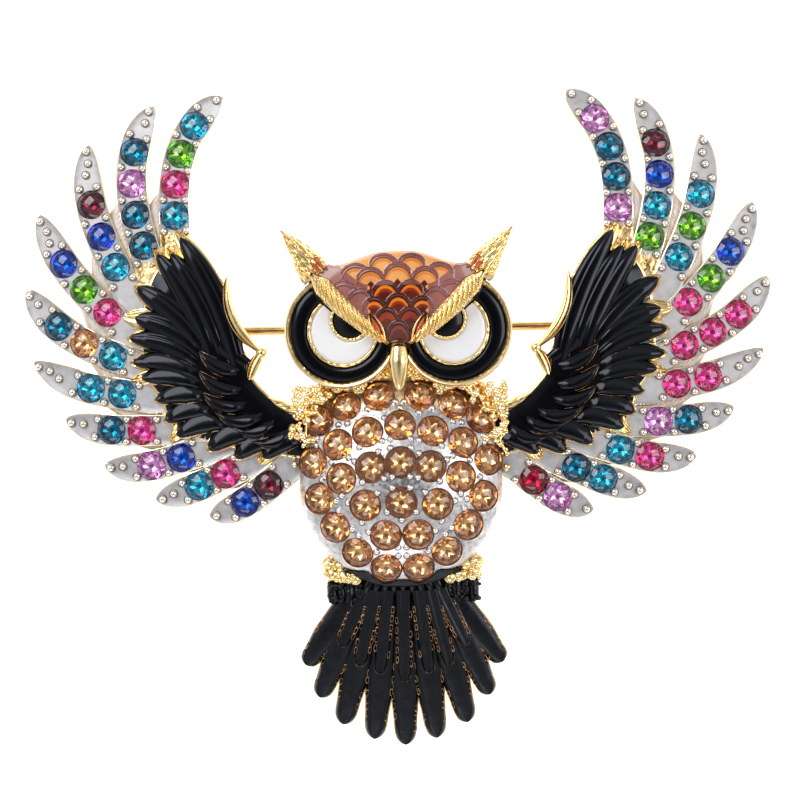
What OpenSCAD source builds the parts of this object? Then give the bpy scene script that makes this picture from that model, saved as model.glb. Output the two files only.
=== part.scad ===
// Figural owl brooch with spread wings, lying face up.
// +Z is the front, +Y is the owl's up, +X is the viewer's right.
// The wings and tail follow one large ball, so their tips sweep back to the table.

/* [Overall] */
// Width over the wing tips
span = 74.2; // [70:0.2:80]
// Height from the top feather to the tail tip
tall = 65.5; // [62:0.5:70]
// Radius of the ball that the wings and tail follow
dome_r = 130; // [120:1:150]

/* [Metal] */
// Thickness of the stone-set feathers
feather_t = 1.8; // [1.7:0.05:2.2]
// Thickness of the low webs between feathers
web_t = 0.75; // [0.6:0.05:0.8]
// Thickness of the metal below the enamel
floor_t = 1.2; // [1.1:0.05:1.3]
// Gap between enamel and metal
seat_gap = 0.04; // [0.03:0.01:0.08]

/* [Feathers] */
// Width of a stone-set feather
feather_w = 3.15; // [3.05:0.05:3.3]
// Height of the black vanes above the metal feathers
vane_rise = 0.3; // [0.2:0.05:0.5]
// Step between one vane and the next
vane_step = 0.16; // [0.1:0.02:0.2]

/* [Stones] */
// Girdle diameter of the cut stones
stone_d = 2.8; // [2.6:0.05:2.85]
// Height of the crown above the girdle
crown_h = 0.5; // [0.3:0.05:0.7]
// Depth of the pavilion below the girdle
pavilion_h = 0.8; // [0.6:0.05:0.85]
// Diameter of the round prong beads
bead_d = 0.64; // [0.5:0.02:0.7]

/* [Torso and head] */
// Width of the torso at its foot
torso_d = 20.6; // [20:0.1:21.2]
// Height of the torso's dome
torso_h = 4.4; // [3.8:0.1:5]
// Outer diameter of each eye rim
eye_d = 11.5; // [11:0.1:12]
// Tilt of each eye to its side
eye_tilt = 7; // [3:0.5:9]

/* [Pin] */
// Diameter of the pin wire
wire_d = 0.85; // [0.7:0.05:1]
// Length from rivet to catch
pin_reach = 38; // [36:0.5:39]

/* [Hidden] */
$fn = 24;
half_w = span / 2;
half_h = tall / 2;
dome_y = 0.185 * half_h;
stone_r = stone_d / 2;
bead_r = bead_d / 2;
pitch_min = stone_d + 0.12;
bow_power = 1.5;

// Stone-set feathers, first the top one. x, y: centre of the stone nearest the owl, as shares of half
// width and half height. aim: direction in degrees. turn: bend up to the tip. pitch: spacing in stone
// diameters. n: stones. tip: length past the last stone in stone diameters. web: reach of the web to the
// next feather, in the same. left, right: stone colours from the root outwards.
F_X = 0;
F_Y = 1;
F_AIM = 2;
F_TURN = 3;
F_PITCH = 4;
F_N = 5;
F_TIP = 6;
F_WEB = 7;
F_LEFT = 8;
F_RIGHT = 9;
feathers = [
    [0.599, 0.638, 89, 61, 1.12, 4, 1.46, 0.95, "afpa", "rttr"],
    [0.685, 0.548, 74, 53, 1.14, 4, 1.61, 1.50, "ttrt", "pasu"],
    [0.762, 0.484, 64, 36, 1.21, 3, 2.03, 1.00, "asu", "apa"],
    [0.786, 0.345, 44, 30, 1.19, 3, 1.83, 1.00, "fps", "fps"],
    [0.773, 0.212, 22, 42, 1.13, 3, 1.66, 0.75, "aot", "fff"],
    [0.750, 0.095, 9, 30, 1.15, 2, 2.25, 0.60, "aa", "ff"],
    [0.698, -0.018, 0, 24, 1.09, 2, 1.68, 0.60, "ft", "rt"],
    [0.593, -0.103, -17, 31, 1.10, 2, 1.67, 0.50, "sr", "af"],
    [0.473, -0.155, -25, 15, 1.05, 2, 1.59, 0.50, "fa", "ta"],
    [0.358, -0.191, -39, 31, 1.03, 2, 1.37, 0.00, "us", "br"]
];

// Black vanes of a wing. x0, y0: root. x1, y1: tip. w: width as a share of the feather width.
// bow: sideways bow.
vanes = [
    [0.429, 0.156, 0.557, 0.580, 0.95, 0.05],
    [0.476, 0.218, 0.582, 0.529, 0.85, 0.04],
    [0.503, 0.218, 0.620, 0.527, 0.90, 0.05],
    [0.522, 0.225, 0.670, 0.418, 0.95, 0.06],
    [0.536, 0.219, 0.702, 0.330, 0.95, 0.08],
    [0.542, 0.189, 0.718, 0.266, 0.80, 0.09],
    [0.545, 0.152, 0.714, 0.192, 0.75, 0.09],
    [0.540, 0.121, 0.701, 0.143, 0.70, 0.08],
    [0.530, 0.084, 0.654, 0.078, 0.75, 0.08],
    [0.512, 0.041, 0.631, 0.016, 0.80, 0.10],
    [0.469, -0.002, 0.607, -0.036, 0.80, 0.12],
    [0.405, -0.034, 0.516, -0.075, 0.80, 0.12],
    [0.338, -0.054, 0.444, -0.101, 0.80, 0.12],
    [0.275, -0.056, 0.374, -0.108, 0.75, 0.12]
];

// Short upper vanes, in the same columns
upper_vanes = [
    [0.434, 0.153, 0.538, 0.222, 0.55, -0.10],
    [0.430, 0.095, 0.539, 0.161, 0.55, -0.12],
    [0.417, 0.051, 0.530, 0.094, 0.55, -0.14],
    [0.372, 0.017, 0.498, 0.038, 0.55, -0.16],
    [0.340, -0.005, 0.453, -0.012, 0.50, -0.16],
    [0.297, -0.031, 0.400, -0.056, 0.50, -0.16]
];

// Arm of the wing under the vanes, from the top round to the torso and back along the lower edge
arm = [
    [0.531, 0.531],
    [0.508, 0.417],
    [0.490, 0.368],
    [0.415, 0.217],
    [0.398, 0.145],
    [0.338, 0.068],
    [0.285, 0.028],
    [0.235, 0.020],
    [0.180, -0.040],
    [0.180, -0.110],
    [0.371, -0.094],
    [0.516, -0.060],
    [0.615, -0.012],
    [0.646, 0.075],
    [0.690, 0.152],
    [0.695, 0.256],
    [0.680, 0.326],
    [0.655, 0.405],
    [0.605, 0.496]
];

// Tail feathers on one side and on the centre line. x, y: tip. w: width as a share of the feather width.
tail_outer = [
    [0.267, -0.746, 0.88],
    [0.231, -0.847, 0.90],
    [0.169, -0.932, 0.95],
    [0.085, -0.979, 0.95],
    [0.000, -0.999, 0.95]
];
tail_inner = [
    [0.171, -0.693, 0.55],
    [0.123, -0.754, 0.55],
    [0.067, -0.779, 0.55],
    [0.000, -0.804, 0.55]
];

// Edge of the tail's root, from the top outwards and down to the middle of the fan
tail_base = [
    [0.090, -0.475],
    [0.203, -0.475],
    [0.203, -0.532],
    [0.174, -0.575],
    [0.215, -0.700],
    [0.000, -0.880]
];

// Torso stones. x, y: shares of the torso's half width from its middle. Rows off the centre line are doubled.
torso_stones = [
    [0.199, 0.834],
    [0.519, 0.742],
    [0.777, 0.601],
    [0.000, 0.553],
    [0.315, 0.492],
    [0.602, 0.378],
    [0.000, 0.200],
    [0.288, 0.155],
    [0.573, 0.050],
    [0.845, 0.208],
    [0.000, -0.190],
    [0.350, -0.210],
    [0.791, -0.142],
    [0.641, -0.418],
    [0.157, -0.501],
    [0.432, -0.666],
    [0.157, -0.821]
];

// Rules for the feathers

function plan(row) = [row[0] * half_w, row[1] * half_h];
function pitch(f) = max(f[F_PITCH] * stone_d, pitch_min);
function last_stone(f) = (f[F_N] - 1) * pitch(f);
function reach(f) = last_stone(f) + f[F_TIP] * stone_d;
function aim(f, s) = f[F_AIM] + f[F_TURN] * pow(max(s, 0) / reach(f), bow_power);
function walk(f, s, k = 0, n = 12) =
    k >= n ? [0, 0] : let (a = aim(f, (k + 0.5) * s / n)) [cos(a), sin(a)] * s / n + walk(f, s, k + 1, n);
function along(f, s, off = 0) =
    let (a = aim(f, s)) plan(f) + walk(f, s) + off * [-sin(a), cos(a)];
function taper(f, s) =
    let (u = max((s - last_stone(f)) / (reach(f) - last_stone(f)), 0)) max(pow(1 - pow(u, 2.2), 0.65), 0.1);
function stations(f) =
    let (body = 2 * f[F_N], tip = 7)
    concat([-0.85 * stone_d], [for (k = [0:body]) last_stone(f) * k / body],
        [for (k = [1:tip]) last_stone(f) + f[F_TIP] * stone_d * k / tip]);
function feather_edge(f, side) = [for (s = stations(f)) along(f, s, side * taper(f, s) * feather_w / 2)];
function turned(list) = [for (k = [len(list) - 1:-1:0]) list[k]];

// A leaf between two points. w: full width. bow: sideways bow as a share of its length.
// kind 0: a pointed vane, 1: a long feather with a round tip, 2: a horn.
VANE = 0;
LONG = 1;
HORN = 2;
function leaf_half(q, kind) =
    kind == LONG ? (q < 0.74 ? 1 : pow(1 - pow((q - 0.74) / 0.26, 2.0), 0.6))
    : kind == HORN ? pow(1 - q, 0.8)
    : pow(1 - pow(q, 2.6), 0.8) * (0.55 + 0.45 * min(q / 0.35, 1));
function leaf_shares(kind) =
    kind == LONG ? [0, 0.74, 0.80, 0.86, 0.91, 0.95, 0.98, 1] : [for (k = [0:8]) k / 8];
function leaf_edge(p, q, w, bow, side, kind) =
    let (d = q - p, across = [-d[1], d[0]] / norm(d))
    [for (t = leaf_shares(kind)) p + d * t + across * (4 * bow * norm(d) * t * (1 - t) + side * w / 2
        * max(leaf_half(t, kind), 0.12))];

module leaf(p, q, w, bow = 0, kind = VANE) {
    polygon(concat(leaf_edge(p, q, w, bow, 1, kind), turned(leaf_edge(p, q, w, bow, -1, kind))));
}

// Placing things on the domes: the back of the plate stands high enough for the farthest feather tip to
// touch the table
tip_reach = max([for (f = feathers) norm(along(f, reach(f)) - [0, dome_y])]);
base_z = dome_r - sqrt(pow(dome_r, 2) - pow(tip_reach, 2)) + 0.08;
centre_z = base_z - dome_r;

module on_ball(centre, ball_r, p, lift = 0) {
    d = [p[0] - centre[0], p[1] - centre[1]];
    tilt = asin(min(norm(d) / ball_r, 0.95));
    translate(centre)
        rotate([0, 0, atan2(d[1], d[0])])
            rotate([0, tilt, 0])
                translate([0, 0, ball_r + lift])
                    children();
}

module on_wing(p, lift = 0) {
    on_ball([0, dome_y, centre_z], dome_r + feather_t, p, lift) children();
}

module on_torso(p, lift = 0) {
    on_ball([0, torso_y, torso_z], torso_r, p, lift) children();
}

module merged() {
    offset(delta = 0.001)
        children();
}

// A plate of the wing's ball with the children as its outline, between two heights above the back
module plate(low, high) {
    intersection() {
        translate([0, 0, -2])
            linear_extrude(height = base_z + 8)
                children();
        difference() {
            wing_ball(dome_r + high);
            wing_ball(dome_r + low);
        }
    }
}

module wing_ball(r) {
    translate([0, dome_y, centre_z])
        rotate([0, 0, 90])
            sphere(r = r, $fn = 200);
}

// Round seat that narrows with the stone below its girdle
module seat() {
    rotate_extrude($fn = 32)
        polygon([[0, -pavilion_h - 0.1], [0.35, -pavilion_h - 0.1], [stone_r + 0.05, -0.2], [stone_r + 0.05, 3],
            [0, 3]]);
}

module both_sides() {
    children();
    mirror([1, 0, 0])
        children();
}

// Torso and head sizes

torso_y = -0.190 * half_h;
torso_r = (pow(torso_d / 2, 2) + pow(torso_h, 2)) / (2 * torso_h);
torso_foot = base_z + 0.9;
foot_lump_r = 0.8;
torso_z = torso_foot + torso_h - torso_r;
torso_points = concat(
    [for (t = torso_stones) [t[0] * torso_d / 2, torso_y + t[1] * torso_d / 2]],
    [for (t = torso_stones) if (t[0] > 0) [-t[0] * torso_d / 2, torso_y + t[1] * torso_d / 2]]);
near = 1.9 * stone_d;

// A bead stands where three neighbouring stones leave room: the middle of the circle through them
function middle(a, b, c) =
    let (d = 2 * (a[0] * (b[1] - c[1]) + b[0] * (c[1] - a[1]) + c[0] * (a[1] - b[1])))
    [(a * a * (b[1] - c[1]) + b * b * (c[1] - a[1]) + c * c * (a[1] - b[1])) / d,
     (a * a * (c[0] - b[0]) + b * b * (a[0] - c[0]) + c * c * (b[0] - a[0])) / d];
function area(a, b, c) = abs((b[0] - a[0]) * (c[1] - a[1]) - (c[0] - a[0]) * (b[1] - a[1])) / 2;
function clear_of(p, list, d) = len([for (q = list) if (norm(p - q) < d) 1]) == 0;
function thin(list, k = 0, kept = []) =
    k >= len(list) ? kept
    : thin(list, k + 1, clear_of(list[k], kept, bead_d * 1.3) ? concat(kept, [list[k]]) : kept);
torso_beads = thin([
    for (i = [0:len(torso_points) - 3])
        for (j = [i + 1:len(torso_points) - 2])
            if (norm(torso_points[i] - torso_points[j]) < near)
                for (k = [j + 1:len(torso_points) - 1])
                    if (norm(torso_points[i] - torso_points[k]) < near
                        && norm(torso_points[j] - torso_points[k]) < near
                        && area(torso_points[i], torso_points[j], torso_points[k]) > 1)
                        let (m = middle(torso_points[i], torso_points[j], torso_points[k]))
                            if (clear_of(m, torso_points, stone_r + bead_r * 0.75)
                                && norm(m - [0, torso_y]) < torso_d / 2 - 0.9) m
]);

eye_c = [0.152 * half_w, 0.275 * half_h];
eye_z = base_z + 3.0;
eye_floor = 0.8;
iris_d = 0.62 * eye_d;
iris_c = [-0.15, -0.05];
pupil_d = 0.35 * eye_d;
pupil_c = [-0.9, 1.0];
rim_w = 0.45;
brow_out = [0.228 * half_w, 0.443 * half_h];
brow_in = [0.020 * half_w, 0.226 * half_h];
brow_z = base_z + 4.7;
crown_floor = base_z + 3.4;
crown_top = base_z + 5.2;
crown_r = 16;
crown_y = 0.40 * half_h;
scale_rows = 7;
scale_pitch = 1.15;
scale_r = 1.2;
scale_step = 0.06;
inlay_c = [0.060 * half_w, 0.286 * half_h];
inlay_dir = [cos(66), sin(66)];
inlay_long = 1.9;
inlay_w = 0.6;
inlay_deep = 0.5;
ear_root = [0.218 * half_w, 0.450 * half_h];
ear_tip = [0.312 * half_w, 0.583 * half_h];

// Pin sizes

pin_y = 0.281 * half_h;
pin_z = 1.5;
hinge_x = -0.497 * half_w;
rivet_d = 0.8;
eye_out = 1.9;
eye_bore = rivet_d + 0.16;
eye_w = 1.0;
cheek_t = 0.7;
cheek_gap = 0.12;
catch_x = hinge_x + pin_reach;
mount_top = centre_z + sqrt(pow(dome_r, 2) - pow(pin_reach / 2 + 1, 2)) + 0.5;

// Webs between the feathers
module web_plan() {
    for (k = [0:len(feathers) - 2]) {
        a = feathers[k];
        b = feathers[k + 1];
        w = a[F_WEB] * stone_d;
        shares = [-1.2 * stone_d, 0, w / 2, w];
        polygon(concat([for (s = shares) along(a, s)], turned([for (s = shares) along(b, s)])));
    }
}

module vane_plan(rows, grow = 1, slim = 0) {
    for (v = rows) {
        p = [v[0] * half_w, v[1] * half_h];
        q = [v[2] * half_w, v[3] * half_h];
        leaf(p, p + (q - p) * grow, v[4] * feather_w - slim, v[5]);
    }
}

module arm_plan() {
    polygon([for (a = arm) plan(a)]);
}

module black_plan() {
    vane_plan(vanes, 0.93, 0.5);
    intersection() {
        offset(delta = -0.35)
            arm_plan();
        translate([0.282 * half_w, -half_h])
            square([half_w, tall]);
    }
}

module edge_plan() {
    corner = [0.369 * half_w, 0.213 * half_h];
    leaf(corner, [0.459 * half_w, 0.447 * half_h], 1.5, -0.07);
    leaf(corner, [0.404 * half_w, 0.130 * half_h], 1.4, 0.04);
    translate(corner)
        circle(r = 0.6, $fn = 16);
}

module root_discs(grow) {
    for (f = feathers)
        translate(along(f, 0))
            circle(r = stone_r + grow, $fn = 32);
}

module torso_discs(grow) {
    for (p = torso_points)
        if (p[0] > 0.35 * torso_d)
            translate(p)
                circle(r = stone_r + grow, $fn = 32);
}

// Outline of the pocket that holds the black enamel
module pocket_plan() {
    difference() {
        black_plan();
        offset(delta = 0.05)
            edge_plan();
        root_discs(0.45);
    }
}

// One feather ends at the pocket and leaves its neighbours' root stones free
module feather_plan(f) {
    difference() {
        polygon(concat(feather_edge(f, 1), turned(feather_edge(f, -1))));
        offset(delta = 0.06)
            pocket_plan();
        for (g = feathers)
            if (g != f)
                translate(along(g, 0))
                    circle(r = stone_r + 0.22, $fn = 32);
    }
}

// One stone-set feather with its seats, and prong beads beyond the root stone
module feather_metal(f) {
    difference() {
        plate(0, feather_t)
            feather_plan(f);
        for (k = [0:f[F_N] - 1])
            on_wing(along(f, k * pitch(f)))
                seat();
    }
    for (k = [1:f[F_N]])
        for (side = [-1, 1])
            on_wing(along(f, (k - 0.5) * pitch(f), side * feather_w * 0.345), 0.02)
                sphere(r = bead_r);
    tip_run = f[F_TIP] * stone_d - 0.5 * pitch(f);
    count = floor((tip_run - 0.5) / (2 * bead_d));
    for (k = [1:1:count])
        on_wing(along(f, last_stone(f) + 0.5 * pitch(f) + k * tip_run / (count + 0.8)), 0.02)
            sphere(r = bead_r);
}

module wing_metal() {
    for (f = feathers)
        feather_metal(f);
    plate(0.1, web_t)
        merged()
            web_plan();
    difference() {
        union() {
            plate(0.05, feather_t + 0.3)
                merged()
                    difference() {
                        union() {
                            vane_plan(vanes, 1);
                            arm_plan();
                        }
                        root_discs(0.25);
                        torso_discs(0.5);
                    }
            plate(0.2, feather_t + 0.9)
                merged()
                    edge_plan();
        }
        plate(floor_t, feather_t + 6)
            merged()
                pocket_plan();
    }
}

module wing_enamel() {
    difference() {
        union() {
            plate(floor_t + seat_gap, feather_t + vane_rise)
                offset(delta = -seat_gap)
                    difference() {
                        black_plan();
                        root_discs(0.45);
                    }
            for (k = [0:len(vanes) - 1])
                plate(floor_t + 0.3, feather_t + vane_rise + vane_step * (1 + k % 3))
                    offset(delta = -seat_gap - 0.1)
                        difference() {
                            vane_plan([vanes[k]], 0.93, 0.5);
                            root_discs(0.45);
                        }
            for (k = [0:len(upper_vanes) - 1])
                plate(floor_t + 0.3, feather_t + vane_rise + 0.6 + vane_step * (k % 2))
                    offset(delta = -seat_gap - 0.1)
                        vane_plan([upper_vanes[k]]);
        }
        plate(0, feather_t + 3)
            offset(delta = 0.05 + seat_gap)
                edge_plan();
    }
}

// One long feather of the tail
module tail_feather(t, grow) {
    tip = [t[0] * half_w, t[1] * half_h];
    root = [0.45 * t[0] * half_w, -0.52 * half_h];
    leaf(root, tip, t[2] * feather_w + 2 * grow, 0, LONG);
}

module tail_pair(t, grow) {
    tail_feather(t, grow);
    if (t[0] > 0)
        mirror([1, 0])
            tail_feather(t, grow);
}

module tail_plan(grow) {
    for (t = tail_outer)
        tail_pair(t, grow);
    offset(delta = grow)
        polygon(concat([for (t = tail_base) [t[0] * half_w, t[1] * half_h]],
            [for (k = [len(tail_base) - 1:-1:0]) [-tail_base[k][0] * half_w, tail_base[k][1] * half_h]]));
}

// Small round lumps of a foot
module foot_lumps(grow = 0) {
    for (k = [0:2])
        for (row = [0:1])
            translate([0.127 * half_w + 1.15 * k + 0.4 * row, -0.482 * half_h + row + 0.25 * k, base_z + 0.2])
                sphere(r = foot_lump_r + grow);
}

// Gold feet on top of the tail
module foot() {
    foot_lumps();
    translate([0.113 * half_w, -0.48 * half_h, base_z - 1.5])
        cube([3.2, 1.5, 1.6]);
}

// Fluted bundle under each foot
module bundle() {
    for (k = [0:3])
        translate([0.113 * half_w + 0.3 + 0.85 * k, -0.497 * half_h, base_z - 0.55 - 0.06 * k])
            rotate([90, 0, 0])
                cylinder(r = 0.52 + 0.05 * (k % 2), h = 1.5 + 0.3 * (k % 2), $fn = 24);
}

module tail_enamel_shape() {
    difference() {
        union() {
            plate(floor_t + seat_gap, 1.75)
                merged()
                    tail_plan(-0.05);
            for (k = [0:len(tail_outer) - 1])
                plate(floor_t + 0.2, 1.9 + vane_step * (k % 2))
                    merged()
                        tail_pair(tail_outer[k], -0.32);
            for (k = [0:len(tail_inner) - 1])
                plate(floor_t + 0.2, 2.3 + vane_step * (k % 2))
                    merged()
                        tail_pair(tail_inner[k], -0.1);
            both_sides()
                bundle();
        }
        both_sides()
            foot_clearance();
        linear_extrude(height = 20)
            polygon([for (k = [0:39]) torso_edge(9 * k + 4.5, seat_gap)]);
        plate(-2, floor_t + seat_gap)
            square(span, center = true);
    }
}

module foot_clearance() {
    translate([-1, -0.4845 * half_h, 0])
        cube([half_w, 9, 20]);
    foot_lumps(2.5 * seat_gap, $fn = 24);
}

// Outline with full shoulders and a round lower end
function torso_edge(a, grow = 0) =
    let (e = sin(a) > 0 ? 2.8 : 2.1, r = torso_d / 2 + grow)
    [r * 0.985 * sign(cos(a)) * pow(abs(cos(a)), 2 / e), torso_y + r * sign(sin(a)) * pow(abs(sin(a)), 2 / e)];

module torso_ball() {
    intersection() {
        translate([0, torso_y, torso_z])
            rotate([0, 0, 90])
                sphere(r = torso_r, $fn = 120);
        translate([0, 0, base_z - 1.5])
            linear_extrude(height = 12)
                polygon([for (k = [0:39]) torso_edge(9 * k + 4.5)]);
    }
}

module torso_metal() {
    difference() {
        union() {
            torso_ball();
            translate([0, torso_y + torso_d / 2 + 1.0, base_z])
                cylinder(r = 5.0, h = 2.2, $fn = 48);
        }
        for (p = torso_points)
            on_torso(p)
                seat();
    }
    for (p = torso_beads)
        on_torso(p, 0.02)
            sphere(r = bead_r);
}

// Rough lumps where a wing joins the torso
module fur() {
    for (k = [0:2]) {
        p = torso_edge(62 - 11 * k, 0.25);
        translate([p[0], p[1], torso_foot - 0.2])
            sphere(r = 0.62);
    }
    for (k = [0:1]) {
        p = torso_edge(56.5 - 11 * k, 1.0);
        translate([p[0], p[1], torso_foot - 0.4])
            sphere(r = 0.72);
    }
}

// Puts the children at the right eye, tilted to its side
module eye_place() {
    translate([eye_c[0], eye_c[1], eye_z])
        rotate([0, eye_tilt, 0])
            children();
}

module brow_plan(grow = 0) {
    leaf(brow_out, brow_in, 1.75 + 2 * grow, 0.03);
}

// Second strand of the brow, which holds the inlay on the crown side
module strand_plan() {
    leaf(inlay_c - (inlay_long / 2 + 0.75) * inlay_dir, inlay_c + (inlay_long / 2 + 0.55) * inlay_dir,
        inlay_w + 1.0, 0, VANE);
}

module crown_plan() {
    n = 8;
    top = [for (k = [-n:n]) let (x = k / n * 0.200 * half_w)
        [x, half_h * (0.516 - 0.052 * pow(k / n, 2) - 0.02 * pow(k / n, 6))]];
    polygon(concat(top, [brow_out - [0.2, 0.2], brow_in + [-0.1, 0.5], [0, brow_in[1] + 0.5],
        [-brow_in[0] + 0.1, brow_in[1] + 0.5], [-brow_out[0] + 0.2, brow_out[1] - 0.2]]));
}

module ear_plan(grow = 0) {
    leaf(ear_root - 0.25 * (ear_tip - ear_root), ear_tip, 4.4 + 2 * grow, 0.02, HORN);
}

// The amber cell: the crown less the brows and ear tufts
module crown_cell(grow) {
    offset(delta = grow)
        difference() {
            crown_plan();
            for (side = [0, 1])
                mirror([side, 0])
                    union() {
                        brow_plan(0.02);
                        strand_plan();
                        ear_plan(0.02);
                    }
        }
}

// What stands over the eyes: the brow line and all above it
module above_brow(grow) {
    d = (brow_in - brow_out) / norm(brow_in - brow_out);
    a = brow_out - 4 * d;
    b = brow_in + 2.2 * d;
    off = [d[1], -d[0]] * -(0.9 + grow);
    translate([0, 0, -1])
        linear_extrude(height = 20)
            merged() {
                polygon([a + off, b + off, b + [-3, 6], a + [-6, 8]]);
                brow_plan(grow + 0.02);
            }
}

module ring(d_out, wall, low, high) {
    translate([0, 0, low])
        difference() {
            cylinder(d = d_out, h = high - low, $fn = 64);
            translate([0, 0, -1])
                cylinder(d = d_out - 2 * wall, h = high - low + 2, $fn = 64);
        }
}

module eye_metal() {
    eye_place() {
        translate([0, 0, -2.6])
            cylinder(d = eye_d - 0.3, h = 2.6 - eye_floor, $fn = 64);
        ring(eye_d, rim_w, -2.2, 0.35);
        translate([iris_c[0], iris_c[1], 0])
            ring(iris_d, 0.32, -eye_floor - 0.2, 0.3);
        translate([pupil_c[0], pupil_c[1], 0])
            ring(pupil_d, 0.3, -eye_floor - 0.2, 0.35);
    }
}

module ear_metal() {
    d = ear_tip - ear_root;
    across = [-d[1], d[0]] / norm(d);
    difference() {
        translate([0, 0, base_z + 0.9])
            linear_extrude(height = 2.6)
                offset(delta = 0.001)
                    ear_plan();
        eye_place()
            disc(eye_d - 2 * rim_w, -eye_floor, 4);
    }
    for (side = [-1, 0, 1])
        translate([0, 0, base_z + 2])
            linear_extrude(height = 2.1 + (side == 0 ? 0.4 : 0))
                offset(delta = 0.001)
                    leaf(ear_root - 0.05 * d + side * 0.95 * across,
                        ear_tip - d * (side == 0 ? 0.06 : 0.3), 1.2, side * 0.05);
}

module beak() {
    translate([-0.5, brow_in[1] - 3.4, base_z + 0.8])
        cube([1.0, 3.6, brow_z - base_z - 0.8]);
    translate([0, brow_in[1] + 0.15, brow_z + 0.1])
        rotate([90, 0, 0])
            rotate_extrude($fn = 32)
                polygon(concat([[0, 0]], [for (k = [0:8]) let (t = k / 8)
                    [0.98 * pow(max(1 - t * t, 0), 0.6) * (0.6 + 0.4 * min(3 * t, 1)), 0.3 + 4.5 * t]]));
}

module head_metal() {
    difference() {
        union() {
            both_sides()
                eye_metal();
            translate([0, 0, base_z + 0.6])
                linear_extrude(height = crown_floor + 0.5 - base_z - 0.6)
                    offset(delta = 0.25)
                        crown_plan();
        }
        translate([0, 0, crown_floor])
            linear_extrude(height = 5)
                offset(delta = 0.001)
                    crown_plan();
    }
    both_sides() {
        difference() {
            translate([0, 0, base_z + 1])
                linear_extrude(height = brow_z - base_z - 1)
                    merged() {
                        brow_plan();
                        strand_plan();
                    }
            translate([0, 0, brow_z - inlay_deep])
                linear_extrude(height = 3)
                    inlay_plan(seat_gap);
        }
        ear_metal();
    }
    beak();
}

// Hinge bracket with its rivet, and the open catch
module pin_mounts() {
    cheek_bottom = pin_z - 1.1;
    for (side = [-1, 1])
        translate([hinge_x, pin_y + side * (eye_w / 2 + cheek_gap + cheek_t / 2), (mount_top + cheek_bottom) / 2])
            cube([2.2, cheek_t, mount_top - cheek_bottom], center = true);
    translate([hinge_x, pin_y + eye_w / 2 + cheek_gap + cheek_t, pin_z])
        rotate([90, 0, 0])
            cylinder(d = rivet_d, h = eye_w + 2 * cheek_gap + 2 * cheek_t, $fn = 32);
    translate([catch_x - 0.9, pin_y, pin_z])
        rotate([0, 90, 0])
            difference() {
                cylinder(d = wire_d + 1.9, h = 1.8, $fn = 32);
                translate([0, 0, -1])
                    cylinder(d = wire_d + 0.4, h = 4, $fn = 32);
                translate([0, -(wire_d + 0.4) / 2, -1])
                    cube([3, wire_d + 0.4, 4]);
            }
    translate([catch_x - 0.9, pin_y - 0.8, pin_z + wire_d / 2 + 0.5])
        cube([1.8, 1.6, mount_top - pin_z - wire_d / 2 - 0.5]);
}

module stem_shape() {
    difference() {
        union() {
            translate([hinge_x, pin_y + eye_w / 2, pin_z])
                rotate([90, 0, 0])
                    cylinder(d = eye_out, h = eye_w, $fn = 32);
            translate([hinge_x + 0.7, pin_y, pin_z])
                rotate([0, 90, 0])
                    cylinder(d = wire_d, h = pin_reach - 0.7, $fn = 32);
            translate([hinge_x + pin_reach, pin_y, pin_z])
                rotate([0, 90, 0])
                    cylinder(d1 = wire_d, d2 = 0.15, h = 2.2, $fn = 32);
        }
        translate([hinge_x, pin_y + eye_w, pin_z])
            rotate([90, 0, 0])
                cylinder(d = eye_bore, h = 2 * eye_w, $fn = 32);
    }
}

// Cut stone: round girdle, eight-sided table
module stone() {
    table_r = 0.56 * stone_r;
    points = concat(
        [for (k = [0:7]) [table_r * cos(45 * k), table_r * sin(45 * k), crown_h]],
        [for (k = [0:15]) [stone_r * cos(22.5 * k), stone_r * sin(22.5 * k), 0]],
        [for (k = [0:15]) [stone_r * cos(22.5 * k), stone_r * sin(22.5 * k), -0.12]],
        [[0, 0, -pavilion_h]]);
    faces = concat(
        [[for (k = [7:-1:0]) k]],
        [for (k = [0:7]) [k, (k + 1) % 8, 8 + (2 * k + 1) % 16]],
        [for (k = [0:7]) [k, 8 + (2 * k + 1) % 16, 8 + 2 * k]],
        [for (k = [0:7]) [k, 8 + 2 * k, 8 + (2 * k + 15) % 16]],
        [for (k = [0:15]) [8 + k, 8 + (k + 1) % 16, 24 + (k + 1) % 16]],
        [for (k = [0:15]) [8 + k, 24 + (k + 1) % 16, 24 + k]],
        [for (k = [0:15]) [24 + k, 24 + (k + 1) % 16, 40]]);
    polyhedron(points = points, faces = faces, convexity = 2);
}

module wing_stones(code) {
    for (f = feathers)
        for (k = [0:f[F_N] - 1]) {
            if (f[F_RIGHT][k] == code)
                on_wing(along(f, k * pitch(f)))
                    stone();
            if (f[F_LEFT][k] == code)
                mirror([1, 0, 0])
                    on_wing(along(f, k * pitch(f)))
                        stone();
        }
}

// All of the crown below one scalloped row. Row 0 is the lowest.
module scale_region(row) {
    y = brow_in[1] + 1.3 + scale_pitch * row;
    w = 2 * scale_r;
    steps = 8;
    bumps = 6;
    polygon(concat(
        [[-bumps * w, y - 20]],
        [for (k = [-bumps:bumps]) for (j = [0:steps]) let (t = 180 * (1 - (j + 0.5) / (steps + 1)))
            [(k + (row % 2) / 2) * w + scale_r * cos(t), y + scale_r * 0.8 * sin(t)]],
        [[bumps * w, y - 20]]));
}

module crown_ball(r) {
    translate([0, crown_y, crown_top - crown_r])
        rotate([90, 0, 0])
            sphere(r = r, $fn = 96);
}

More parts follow.
